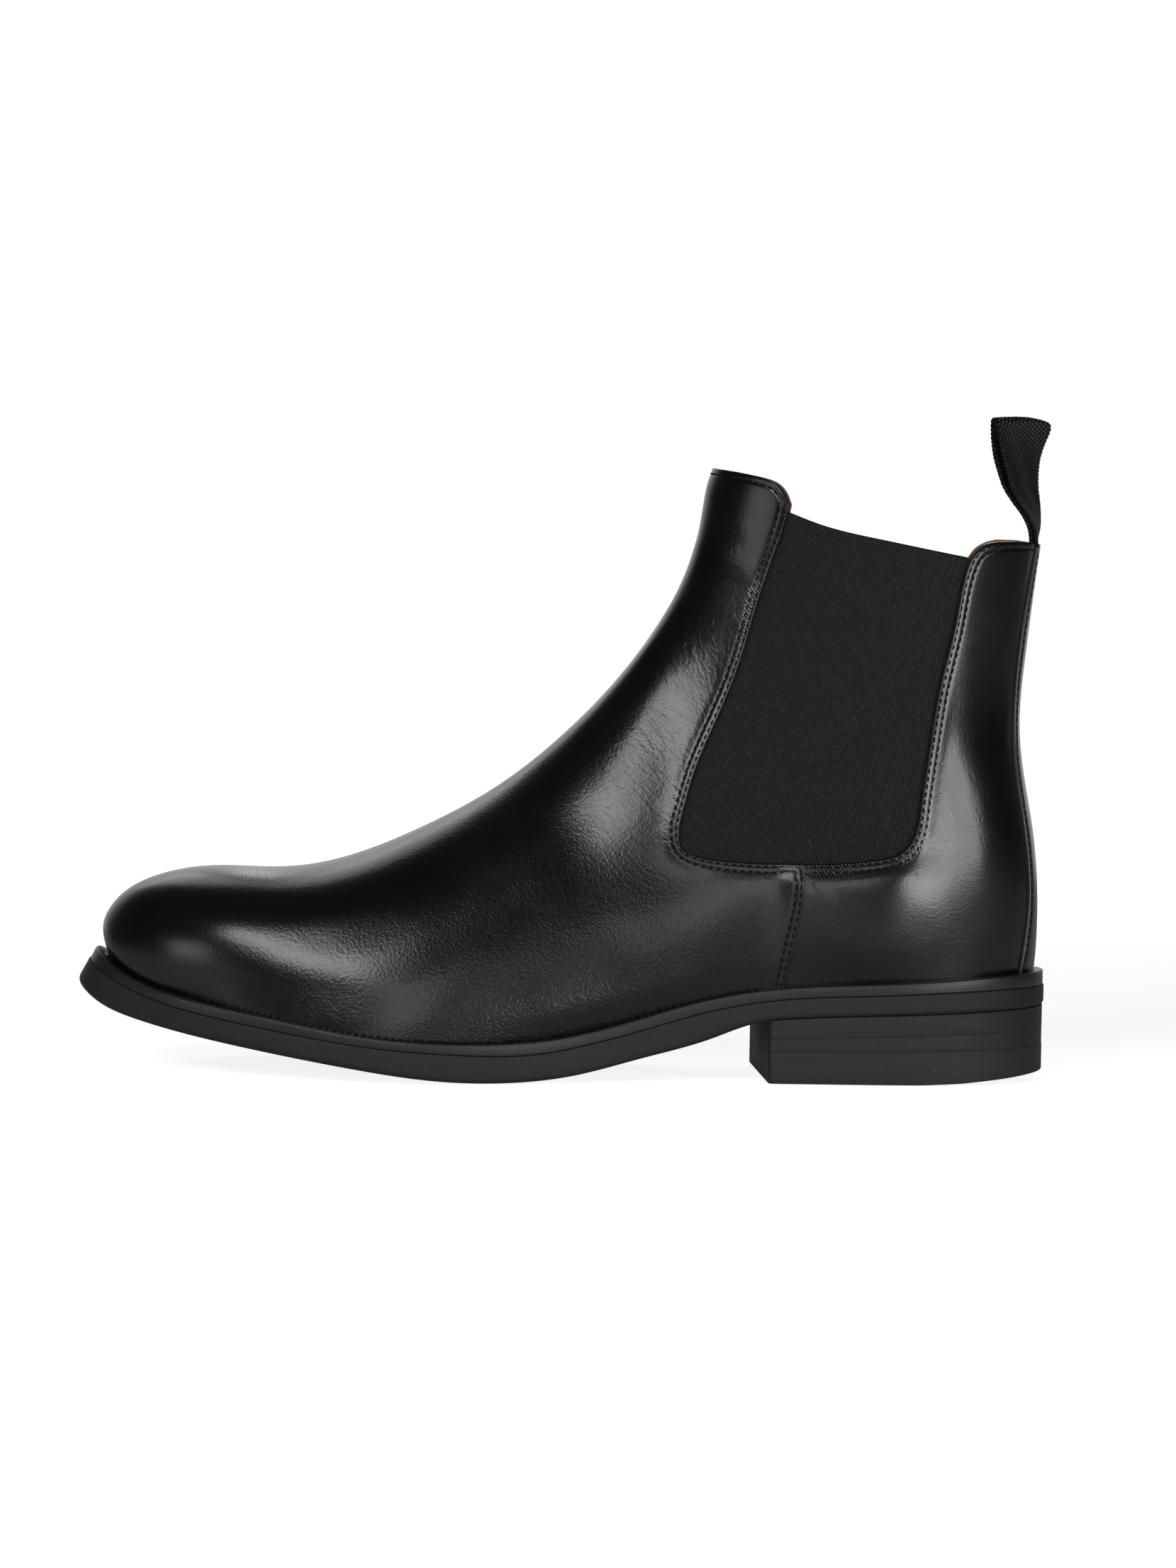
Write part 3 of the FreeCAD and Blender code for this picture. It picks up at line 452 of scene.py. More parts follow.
def orient(verts, tris, normal):
    """Triangles turned to face along the normal."""
    tris = np.asarray(tris)
    a, b, c = verts[tris[:, 0]], verts[tris[:, 1]], verts[tris[:, 2]]
    facing = (np.cross(b - a, c - a) * normal[tris[:, 0]]).sum(-1)
    flipped = tris.copy()
    flipped[facing < 0] = tris[facing < 0][:, ::-1]
    return [tuple(int(i) for i in t) for t in flipped]


# ------------------------------------------------------------------ materials
class Nodes:
    """Short calls for building a node tree."""

    def __init__(self, tree):
        self.tree = tree

    def put(self, socket, value):
        if isinstance(value, (int, float, tuple)):
            socket.default_value = value
        else:
            self.tree.links.new(value, socket)

    def node(self, kind, inputs=None, **settings):
        """A node with its settings made and with numbers or links put into its inputs."""
        node = self.tree.nodes.new(kind)
        for key, value in settings.items():
            setattr(node, key, value)
        for name, value in (inputs or {}).items():
            self.put(node.inputs[name], value)
        return node

    def math(self, operation, a, b=0.0, c=0.0, clamp=False):
        return self.node("ShaderNodeMath", {0: a, 1: b, 2: c}, operation=operation,
                         use_clamp=clamp).outputs[0]

    def times(self, a, b, plus=None):
        if plus is None:
            return self.math("MULTIPLY", a, b)
        return self.math("MULTIPLY_ADD", a, b, plus)

    def ranged(self, value, a, b, to_a=0.0, to_b=1.0):
        limits = {"From Min": a, "From Max": b, "To Min": to_a, "To Max": to_b}
        return self.node("ShaderNodeMapRange", {"Value": value, **limits},
                         interpolation_type="SMOOTHSTEP").outputs["Result"]


class Look(Nodes):
    """One procedural material; its lengths are millimetres."""

    def __init__(self, name):
        self.material = bpy.data.materials.new(name)
        self.material.use_nodes = True
        super().__init__(self.material.node_tree)
        self.tree.nodes.clear()
        self.shader = self.node("ShaderNodeBsdfPrincipled")
        self.node("ShaderNodeOutputMaterial", {0: self.shader.outputs[0]})
        coordinates = self.node("ShaderNodeTexCoord").outputs["Object"]
        self.mm = self.vector("SCALE", {0: coordinates, "Scale": 1.0 / MM})[0]

    def vector(self, operation, inputs):
        return self.node("ShaderNodeVectorMath", inputs, operation=operation).outputs

    def stretched(self, lengths, turn=(0.0, 0.0, 0.0)):
        """Coordinates that draw a pattern out along turned axes."""
        inputs = {"Vector": self.mm, "Scale": lengths, "Rotation": turn}
        return self.node("ShaderNodeMapping", inputs, vector_type="TEXTURE").outputs[0]

    def noise(self, size, detail=3.0, rough=0.55, where=None, distortion=0.0):
        return self.node("ShaderNodeTexNoise", {
            "Vector": self.mm if where is None else where, "Scale": 1.0 / size,
            "Detail": detail, "Roughness": rough, "Distortion": distortion}).outputs["Fac"]

    def cells(self, size, feature="F1"):
        return self.node("ShaderNodeTexVoronoi", {"Vector": self.mm, "Scale": 1.0 / size},
                         feature=feature).outputs["Distance"]

    def along(self, direction):
        """Distance along a direction, in millimetres."""
        return self.vector("DOT_PRODUCT", {0: self.mm, 1: direction})["Value"]

    def wave(self, value, pitch):
        return self.times(self.math("SINE", self.times(value, 2.0 * math.pi / pitch)), 0.5, 0.5)

    def near(self, centre, radius, stretch=(1.0, 1.0, 1.0)):
        """1 at a place on the boot, falling to 0 at radius."""
        shift = self.vector("SUBTRACT", {0: self.mm, 1: centre})[0]
        shift = self.vector("MULTIPLY", {0: shift, 1: stretch})[0]
        return self.ranged(self.vector("LENGTH", {0: shift})["Value"], 0.0, radius, 1.0, 0.0)

    def attribute(self, name):
        return self.node("ShaderNodeAttribute", attribute_name=name).outputs["Fac"]

    def mix(self, factor, a, b):
        return self.node("ShaderNodeMix", {"Factor": factor, 6: a, 7: b},
                         data_type="RGBA").outputs[2]

    def bump(self, height, depth, normal=None):
        inputs = {"Height": height, "Distance": depth * MM, "Strength": 1.0}
        if normal is not None:
            inputs["Normal"] = normal
        return self.node("ShaderNodeBump", inputs).outputs[0]

    def finish(self, color, rough, **inputs):
        """Puts values or links into the shader's inputs."""
        inputs = {"Base Color": color, "Roughness": rough, **inputs}
        for name, value in inputs.items():
            self.put(self.shader.inputs[name.replace("_", " ")], value)
        return self.material


def rgb(r, g, b):
    return (r, g, b, 1.0)


def calf_look(name):
    """Smooth box calf: fine shallow pebble, small wrinkles where the foot bends."""
    look = Look(name)
    broad = look.noise(38.0, 2.0)
    color = look.mix(look.ranged(broad, 0.35, 0.7), rgb(0.0026, 0.0027, 0.0032),
                     rgb(0.0046, 0.0048, 0.0058))
    raw = look.ranged(look.attribute("edge"), 0.05, -0.05)
    color = look.mix(raw, color, rgb(0.009, 0.010, 0.011))
    rough = look.times(look.noise(11.0, 3.0), 0.14, 0.18)
    rough = look.times(raw, 0.3, rough)
    forefoot = look.near((-22.0, -30.0, 58.0), 150.0, (1.0, 0.8, 1.0))
    amount = look.ranged(forefoot, 0.25, 0.75, 0.4, 1.0)
    pebble = look.cells(0.82, "SMOOTH_F1")
    grain = look.times(look.noise(0.45, 1.0), 0.6, pebble)
    normal = look.bump(look.times(grain, amount), 0.06)
    folds = look.noise(1.5, 2.0, 0.5, look.stretched((1.0, 1.0, 3.6), (0.0, -0.85, 0.0)), 0.5)
    front = look.near((26.0, -34.0, 96.0), 40.0, (1.0, 0.5, 0.9))
    inner = look.near((26.0, 28.0, 96.0), 40.0, (1.0, 0.5, 0.9))
    upright = look.noise(1.7, 2.0, 0.5, look.stretched((1.0, 1.0, 3.4), (0.0, -0.35, 0.0)), 0.5)
    shin = look.near((46.0, -24.0, 138.0), 46.0, (1.4, 0.5, 0.8))
    heel = look.near((122.0, -28.0, 88.0), 34.0, (1.0, 0.5, 1.0))
    across = look.times(folds, look.math("MAXIMUM", front, inner))
    upward = look.times(upright, look.math("MAXIMUM", shin, look.times(heel, 0.45)))
    normal = look.bump(look.math("ADD", across, upward), 0.15, normal)
    # long shallow unevenness of leather over the last
    normal = look.bump(look.noise(19.0, 1.0, 0.5), 0.22, normal)
    return look.finish(color, rough, Normal=normal, Specular_IOR_Level=0.5, Coat_Weight=0.15,
                       Coat_Roughness=0.16)


def elastic_look(name):
    """Black side elastic: fine upright ribs crossed by short floats; the raised floats carry a
    painted sheen, lighter than the black yarn.
    """
    look = Look(name)
    # the ribs fan out upwards from the foot of the window
    fan = look.math("SUBTRACT", 1.198, look.times(look.along((0.0, 0.0, 1.0)), 0.00283))
    across = look.math("DIVIDE", look.math("ADD", look.along((1.0, 0.0, -0.397)), 27.8), fan)
    up = look.along((0.1, 0.0, 1.0))
    sway = look.times(look.noise(9.0, 1.0), 0.5)
    ribs = look.wave(look.math("ADD", across, sway), 0.76)
    picks = look.wave(look.times(look.noise(0.8, 0.0), 0.6, up), 0.46)
    float_and_sheen = look.times(look.ranged(ribs, 0.35, 0.9), look.times(picks, 0.75, 0.25))
    patchy = look.times(look.noise(1.6, 2.0), 1.0, 0.4)
    # painted sheen: the raised floats are painted light grey on the black elastic, as if they
    # caught the light
    color = look.mix(look.math("MULTIPLY", float_and_sheen, patchy, clamp=True),
                     rgb(0.0018, 0.0018, 0.002), rgb(0.058, 0.058, 0.0585))
    speck = look.ranged(look.noise(0.5, 0.0), 0.72, 0.8)
    color = look.mix(look.times(speck, 0.5), color, rgb(0.07, 0.07, 0.072))
    normal = look.bump(float_and_sheen, 0.13)
    normal = look.bump(look.noise(16.0, 1.0), 0.25, normal)
    return look.finish(color, 0.8, Normal=normal, Specular_IOR_Level=0.22, Sheen_Weight=0.04)


def webbing_look(name):
    """Black woven tape: rows of small floats running aslant, their shine painted on as light
    dots.
    """
    look = Look(name)
    across = look.attribute("across")
    length = look.attribute("length")
    rows = look.wave(look.times(length, 0.62, across), 1.3)
    picks = look.wave(look.times(across, -0.62, length), 1.2)
    float_and_sheen = look.times(look.ranged(rows, 0.3, 0.95), look.ranged(picks, 0.2, 0.9))
    selvedge = look.ranged(look.math("ABSOLUTE", across), 8.8, 9.3, 1.0, 0.0)
    dot = look.times(look.ranged(float_and_sheen, 0.4, 0.8), selvedge)
    # painted highlight: the raised floats inside the selvedges are painted light grey as glints
    # on the black tape
    color = look.mix(dot, rgb(0.0024, 0.0024, 0.0026), rgb(0.11, 0.11, 0.103))
    return look.finish(color, 0.6, Normal=look.bump(float_and_sheen, 0.34), Specular_IOR_Level=0.25)


def thread_look(name):
    look = Look(name)
    color = look.mix(look.noise(0.7, 1.0), rgb(0.0014, 0.0014, 0.001456),
                     rgb(0.00448, 0.00448, 0.00462))
    ply = look.wave(look.along((0.7, 0.5, 0.7)), 0.45)
    return look.finish(color, 0.7, Normal=look.bump(ply, 0.08), Specular_IOR_Level=0.2)


def rubber_look(name, base=0.010):
    look = Look(name)
    broad = look.noise(24.0, 3.0, 0.6, look.stretched((4.0, 4.0, 1.0)))
    scuff = look.noise(3.0, 5.0, 0.65, look.stretched((8.0, 8.0, 1.0)))
    color = look.mix(look.ranged(broad, 0.3, 0.75), rgb(base, base, base * 1.04),
                     rgb(base * 1.7, base * 1.7, base * 1.75))
    speck = look.ranged(look.cells(2.3), 0.16, 0.06)
    picked = look.ranged(look.noise(2.3, 0.0), 0.6, 0.66)
    color = look.mix(look.times(speck, look.times(picked, 0.5)), color,
                     rgb(0.16, 0.16, 0.16))
    rough = look.times(scuff, 0.22, 0.50)
    normal = look.bump(scuff, 0.12)
    normal = look.bump(look.noise(0.7, 3.0), 0.05, normal)
    return look.finish(color, rough, Normal=normal, Specular_IOR_Level=0.45)


def welt_look(name):
    look = Look(name)
    streak = look.noise(2.2, 4.0, 0.6, look.stretched((10.0, 10.0, 1.0)))
    color = look.mix(streak, rgb(0.006, 0.006, 0.0065), rgb(0.017, 0.017, 0.0175))
    rough = look.times(streak, 0.16, 0.34)
    normal = look.bump(streak, 0.10)
    normal = look.bump(look.noise(0.6, 2.0), 0.04, normal)
    return look.finish(color, rough, Normal=normal, Specular_IOR_Level=0.5, Coat_Weight=0.15,
                       Coat_Roughness=0.3)


def lining_look(name):
    look = Look(name)
    broad = look.noise(16.0, 4.0)
    color = look.mix(look.ranged(broad, 0.3, 0.75), rgb(0.36, 0.125, 0.035),
                     rgb(0.47, 0.185, 0.058))
    pores = look.ranged(look.cells(0.8), 0.28, 0.05)
    color = look.mix(look.times(pores, 0.35), color, rgb(0.22, 0.075, 0.02))
    rough = look.times(look.noise(5.0), 0.2, 0.48)
    normal = look.bump(pores, 0.06)
    normal = look.bump(look.noise(1.2, 3.0), 0.08, normal)
    return look.finish(color, rough, Normal=normal)


def plain_look(name, dark, light, grain, rough, metallic=0.0):
    """Hidden and minor parts: two-tone grain with a matching bump."""
    look = Look(name)
    texture = look.noise(grain, 5.0, 0.6)
    color = look.mix(look.ranged(texture, 0.3, 0.7), rgb(*dark), rgb(*light))
    return look.finish(color, rough, Normal=look.bump(texture, 0.12), Metallic=metallic)


CALF = calf_look("calf_black")
ELASTIC = elastic_look("elastic_black")
WEBBING = webbing_look("webbing_black")
THREAD = thread_look("thread_black")
RUBBER = rubber_look("sole_rubber")
HEEL = rubber_look("heel_rubber", 0.012)
WELT = welt_look("welt_black")
LINING = lining_look("lining_tan")
BOARD = plain_look("insole_board", (0.3, 0.2, 0.11), (0.45, 0.32, 0.2), 1.2, 0.8)
CORK = plain_look("cork", (0.2, 0.11, 0.05), (0.42, 0.27, 0.14), 2.4, 0.85)
STEEL = plain_look("spring_steel", (0.42, 0.42, 0.44), (0.6, 0.6, 0.62), 3.0, 0.34, 1.0)
STIFFENER = plain_look("stiffener", (0.38, 0.3, 0.21), (0.55, 0.46, 0.35), 0.6, 0.9)

# ------------------------------------------------------------------ outlines of the upper
# the leather ends DROP below the welt's top; the collar lies between the NEAR_TOP sections
DROP = 1.2
EDGE_PITCH = 1.1
NEAR_TOP = (18.0, 21.6)
SEAM_LAP = 3.0
V_HEEL = float(section_at(welt_top, np.array([math.pi]), 14.5, 17.0, DROP)[0])


def clipped_seam(shift, drop):
    line = smooth(SIDE_SEAM, EDGE_PITCH)
    line[:, 0] += shift
    return line[line[:, 1] > welt_top(line[:, 0]) - drop]


def vamp_side(side, drop=DROP):
    """Outline of one side of the vamp: top, window front, seam, feather."""
    toe = float(section_at(welt_top, np.zeros(1), 0.5, 3.0, drop)[0])
    corner = smooth(VAMP_TOP[2:], EDGE_PITCH)
    corner_path = from_side(corner, side)
    ridge = top_edge(vamp_top, 0.0, corner_path[0, 0], 24, 19.0, 21.6)
    window = from_side(smooth(WINDOW_FRONT, EDGE_PITCH), side)
    seam = from_side(clipped_seam(0.0, drop), side)
    share = np.linspace(1.0, 0.0, 400) ** 2
    v = toe + (seam[-1, 1] - toe) * share
    a = angle_at(welt_top, v, side, drop)
    a[share < 1e-9] = 0.0
    low = resample(np.stack([a, v], -1), EDGE_PITCH)
    top = np.vstack([resample(ridge, EDGE_PITCH)[:-1], corner_path])
    return top, window, seam, low


def chain(*paths):
    """Joins paths into one list, dropping repeated ends; also tells which path each is from."""
    points = []
    marks = []
    for number, path in enumerate(paths):
        for p in path:
            if points and np.hypot(*((p - points[-1]) * (SCALE_A, SCALE_V))) < 0.25:
                continue
            points.append(p)
            marks.append(number)
    if np.hypot(*((points[0] - points[-1]) * (SCALE_A, SCALE_V))) < 0.25:
        points.pop()
        marks.pop()
    return np.array(points), np.array(marks)


def around_vamp(drop):
    """The vamp's closed outline and which of its points are free edges."""
    outer, inner = vamp_side(1, drop), vamp_side(-1, drop)
    loop, marks = chain(*outer, inner[3][::-1], inner[2][::-1], inner[1][::-1], inner[0][::-1])
    return loop, ~np.isin(marks, (3, 4))


VAMP = {side: vamp_side(side) for side in (1, -1)}


def quarter_side(side):
    """Outline of one quarter: seam (under the vamp), window, top, back line, feather."""
    seam = from_side(clipped_seam(-SEAM_LAP, DROP), side)[::-1]
    rear, corner = list(WINDOW_REAR), list(QUARTER_TOP[:2])
    if side < 0:
        # the inner side's top corner is cut a little farther back
        rear = rear[:-5] + [(x + shift, z) for (x, z), shift in
                            zip(rear[-5:], (1.2, 2.8, 3.6, 4.0, 4.0))]
        corner = [(corner[0][0] + 4.0, corner[0][1] + 0.05), (143.0, 165.9)]
    window = from_side(smooth([(72.0, 67.15)] + rear, EDGE_PITCH), side)
    top_line = smooth(corner, EDGE_PITCH)
    top_start = from_side(top_line, side)
    top = top_edge(quarter_top, top_start[-1, 0], side * math.pi, 30, *NEAR_TOP)
    top = np.vstack([top_start, resample(top, EDGE_PITCH)[1:]])
    back_v = np.linspace(top[-1, 1], V_HEEL, 90)
    back = np.stack([np.full(90, side * math.pi), back_v], -1)
    share = np.linspace(0.0, 1.0, 200)
    v = V_HEEL + (seam[0, 1] - V_HEEL) * share ** 1.5
    low = resample(np.stack([angle_at(welt_top, v, side, DROP), v], -1), 1.4)
    return seam, window, top, back, low


QUARTER = {side: quarter_side(side) for side in (1, -1)}


def roll(e, radius=0.7, drop=0.45):
    """Rounded edge: how far the face drops near a free edge."""
    t = np.clip(1.0 - e / radius, 0.0, 1.0)
    return -drop * (1.0 - np.sqrt(np.clip(1.0 - t * t, 0.0, 1.0)))


def groove(e, centre, depth=0.13, width=0.4):
    return -depth * np.exp(-((e - centre) / width) ** 2)


# stitch rows: two along window and seam, one along the tops and one along the strip
ROW_1, ROW_2, ROW_TOP, ROW_STRIP = 0.9, 2.65, 2.1, 1.4
LEATHER_WALL = 1.9
LAP_RISE, LAP_REACH = 0.95, 10.0


def edge_trees(*edges):
    """For each side, a tree over some lines of the outlines."""
    return [tree_of(np.vstack([points_on(outline[side][number]) for outline, number in edges]))
            for side in (1, -1)]


top_trees = edge_trees((VAMP, 0))
window_trees = edge_trees((VAMP, 1))
seam_trees = edge_trees((VAMP, 2))
gusset_trees = edge_trees((VAMP, 1), (QUARTER, 1))


def by_tree(trees, points):
    return np.minimum(distances(trees[0], points), distances(trees[1], points))


# swells and hollows of the leather: x, z, long and short reach, turn in degrees, rise.
# This table was not chosen by hand: a separate program fitted it to the photo's highlights.
SWELLS = [
    (-83, 33, 11.3, 20.9, -79, -1.4), (-75, 54, 12.6, 15.9, -87, 1.5),
    (-72, 58, 18.7, 24.5, -88, 1.0), (-69, 38, 19.1, 10.5, 6, -1.4),
    (-57, 38, 14.0, 10.5, -14, -0.6), (-17, 62, 13.8, 14.0, -1, 1.1),
    (5, 78, 10.0, 14.4, 27, -1.3), (12, 27, 14.4, 27.2, -41, 1.4),
    (13, 121, 21.9, 14.3, -69, 1.2), (16, 126, 11.5, 20.7, 7, 1.3), (34, 64, 9.3, 8.5, 26, -0.9),
    (43, 103, 11.4, 19.8, 9, -1.2), (47, 96, 18.0, 18.7, 33, -1.5),
    (49, 49, 11.6, 24.0, -40, 1.1), (89, 62, 20.4, 8.7, -80, 1.5), (93, 47, 23.2, 8.4, -83, 0.9),
    (95, 59, 16.2, 9.6, -18, 1.5), (118, 91, 10.6, 14.4, -4, -1.3)]
SWELL_LIMIT = 1.3


def relief(points, normals):
    """Slow unevenness of the leather, fading at the edges, the ridge and the welt."""
    height = np.zeros(len(points))
    for x, z, long, short, turn, rise in SWELLS:
        c, s = math.cos(math.radians(turn)), math.sin(math.radians(turn))
        dx, dz = points[:, 0] - x, points[:, 2] - z
        height += rise * np.exp(-0.5 * (((c * dx + s * dz) / long) ** 2
                                        + ((c * dz - s * dx) / short) ** 2))
    height = SWELL_LIMIT * np.tanh(height / SWELL_LIMIT)
    height *= ease(by_tree(gusset_trees, points) / 7.0)
    height *= ease((points[:, 2] - welt_top(points[:, 0])) / 9.0)
    height *= ease((np.abs(normals[:, 1]) - 0.05) / 0.45)
    return height * np.where(points[:, 1] < 0.0, 1.0, 0.65)


def sewn_edge(e, double, top):
    """Rolled edge, two grooves along the doubly sewn edges and one along the top."""
    height = roll(e) + groove(double, ROW_1) + groove(double, ROW_2)
    return height + np.where(top < double, groove(top, ROW_TOP, 0.2), 0.0)


def vamp_height(points, e):
    seam = by_tree(seam_trees, points)
    double = np.minimum(by_tree(window_trees, points), seam)
    height = sewn_edge(e, double, by_tree(top_trees, points))
    return height + LAP_RISE * ease(1.0 - seam / LAP_REACH)


def quarter_height(side):
    window, top = (tree_of(points_on(QUARTER[side][k])) for k in (1, 2))
    return lambda points, e: sewn_edge(e, distances(window, points), distances(top, points))


def on_leg(obj, slot, *nodes):
    """A piece from the foot up the rear leg of the shaft: hides the CAD nodes it replaces and
    bakes its place into its mesh.
    """
    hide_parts(*nodes)
    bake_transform(obj)


def on_foot(obj, slot, *nodes):
    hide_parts(*nodes)
    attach(obj, "foot")


vamp = patch("vamp_skin", *around_vamp(DROP), vamp_height, CALF, wall=LEATHER_WALL, swells=True)
on_foot(vamp, "calf", "vamp")

SIDE_WORDS = ((1, "lateral"), (-1, "medial"))
for side, word in SIDE_WORDS:
    loop, marks = chain(*QUARTER[side])
    piece = patch("quarter_skin_" + word, loop, np.isin(marks, (1, 2)), quarter_height(side),
                  CALF, wall=LEATHER_WALL, swells=True)
    on_leg(piece, "calf", "quarter_" + word, "leg_quarter_" + word)

# ------------------------------------------------------------------ backstay strip
strip_line = smooth(STRIP_EDGE, EDGE_PITCH)
strip_line = strip_line[(strip_line[:, 1] < quarter_top(strip_line[:, 0]) - 0.2)
                        & (strip_line[:, 1] > welt_top(strip_line[:, 0]) - DROP)]
strip_side = {side: from_side(strip_line, side) for side in (1, -1)}
strip_side[-1][:, 0] += 2.0 * math.pi


def across_back(line, left, right, low, high, drop=0.0):
    a = np.linspace(left, right, 60)
    return resample(np.stack([a, section_at(line, a, low, high, drop)], -1), EDGE_PITCH)


strip_top = across_back(quarter_top, strip_side[-1][0, 0], strip_side[1][0, 0], *NEAR_TOP)
strip_low = across_back(welt_top, strip_side[1][-1, 0], strip_side[-1][-1, 0], 14.0, 17.0, DROP)
strip_loop, strip_marks = chain(strip_side[1], strip_low, strip_side[-1][::-1], strip_top)
strip_edges = tree_of(np.vstack([points_on(strip_side[1]), points_on(strip_side[-1])]))
STRIP_THICK = 1.0


def strip_height(points, e):
    sides = distances(strip_edges, points)
    return STRIP_THICK + roll(e, 0.8, 0.5) + groove(sides, ROW_STRIP, 0.2)


backstay = patch("backstay_skin", strip_loop, strip_marks != 1, strip_height, CALF, 1.9, wall=0.1)
on_leg(backstay, "calf", "backstay", "leg_backstay")

# ------------------------------------------------------------------ gussets
ELASTIC_OVERLAP = 4.5
ELASTIC_DEPTH, ELASTIC_BACK = 1.8, 2.95
elastic_top = level(ELASTIC_TOP)
window_line = smooth(WINDOW_FRONT + WINDOW_REAR[1:-2], EDGE_PITCH)
hidden_line = window_line + to_the_left(window_line) * -ELASTIC_OVERLAP
hidden_line = hidden_line[hidden_line[:, 1] < elastic_top(hidden_line[:, 0]) - 0.4]
top_x = np.arange(hidden_line[-1, 0], hidden_line[0, 0], -1.1)
elastic_edge = np.stack([top_x, elastic_top(top_x)], -1)


def elastic_height(points, e):
    """Flat elastic with a thick turned edge at its top."""
    return -ELASTIC_DEPTH + roll(e, 0.7, 0.35) + 0.25 * np.exp(-((e - 1.6) / 1.3) ** 2)


for side, word in SIDE_WORDS:
    loop, marks = chain(from_side(hidden_line, side), from_side(elastic_edge, side))
    piece = patch("gusset_skin_" + word, loop, marks == 1, elastic_height, ELASTIC,
                  inner=ELASTIC_BACK)
    on_leg(piece, "elastic", "gusset_" + word)

# ------------------------------------------------------------------ linings
VAMP_LINING_DEPTH, REAR_LINING_DEPTH, LINING_THICK = 3.8, 3.9, 2.2


def lining_height(depth):
    return lambda points, e: -depth - roll(e, 0.8, 0.5)


def lining_patch(name, loop, free, depth):
    """A patch whose face looks into the boot."""
    obj = patch(name, loop, free, lining_height(depth), LINING, spacing=3.0, wall=LINING_THICK,
                rings=LINING_RINGS)
    obj.data.flip_normals()
    return obj


vamp_lining = lining_patch("vamp_lining_skin", *around_vamp(-1.6), VAMP_LINING_DEPTH)
on_foot(vamp_lining, "lining", "vamp_lining")

seam_a, window_a, top_a, _, low_a = QUARTER[1]
seam_b, window_b, top_b, _, low_b = [path + (2.0 * math.pi, 0.0) for path in QUARTER[-1]]
lining_loop, lining_marks = chain(seam_a, window_a, top_a, top_b[::-1], window_b[::-1],
                                  seam_b[::-1], low_b[::-1], low_a)
rear_lining = lining_patch("quarter_lining_skin", lining_loop,
                           np.isin(lining_marks, (1, 2, 3, 4)), REAR_LINING_DEPTH)
on_leg(rear_lining, "lining", "quarter_lining", "leg_lining", "leg_interlining")

# ------------------------------------------------------------------ stitches
# each stitch is a capsule: share of its length and of its radius, ring by ring
CAPSULE = ((0.0, 0.25), (0.06, 0.75), (0.2, 1.0), (0.8, 1.0), (0.94, 0.75), (1.0, 0.25))
CAPSULE_SIDES = 7
END_SINK = 0.16


def ring_faces(row_count, count, first=0, turned=False):
    """Quads between rows of points that go round; turned ones face the other way."""
    faces = []
    for r in range(row_count - 1):
        a, b = first + r * count, first + (r + 1) * count
        for i in range(count):
            j = (i + 1) % count
            faces.append((a + i, b + i, b + j, a + j) if turned else
                         (a + i, a + j, b + j, b + i))
    return faces


def at_length(s, t, rows):
    return np.array([np.interp(s, t, rows[:, i]) for i in range(3)])


def stitch_mesh(name, rows, pitch=2.4, radius=0.27, share=0.62):
    """Separate stitches along 3D rows of (points, normals), all in one object."""
    verts = []
    faces = []
    for points, normals in rows:
        t = lengths_along(points)
        count = max(int(t[-1] / pitch), 1)
        real = t[-1] / count
        for k in range(count):
            ends = [(k + 0.5 - 0.5 * share) * real, (k + 0.5 + 0.5 * share) * real]
            a, b = (at_length(s, t, points) for s in ends)
            run = b - a
            length = np.linalg.norm(run)
            if length < 0.3:
                continue
            run = run / length
            up = at_length(np.mean(ends), t, normals)
            up = up - run * np.dot(up, run)
            up /= np.linalg.norm(up)
            out = np.cross(run, up)
            base = len(verts)
            for at, size in CAPSULE:
                sink = -END_SINK * (2.0 * at - 1.0) ** 2
                for i in range(CAPSULE_SIDES):
                    turn = 2.0 * math.pi * i / CAPSULE_SIDES
                    verts.append(a + run * at * length
                                 + up * (sink + radius * size * math.sin(turn))
                                 + out * radius * 1.05 * size * math.cos(turn))
            faces += ring_faces(len(CAPSULE), CAPSULE_SIDES, base, turned=True)
            faces.append(tuple(range(base, base + CAPSULE_SIDES)))
            faces.append(tuple(range(len(verts) - 1, len(verts) - 1 - CAPSULE_SIDES, -1)))
    return new_object(name, verts, faces, THREAD)


def beside(path, distance, heading):
    """The path moved over the surface by a distance, to its side facing a heading (x, z)."""
    options = [march(path, distance), march(path, -distance)]
    ahead = [(points_on(o)[:, ::2] @ np.array(heading)).mean() for o in options]
    return options[int(ahead[1] > ahead[0])]


def stitch_row(path, height):
    normals = -inward(path[:, 1], path[:, 0])
    height = height + relief(points_on(path), normals)
    return at_height(path[:, 1], path[:, 0], height), normals


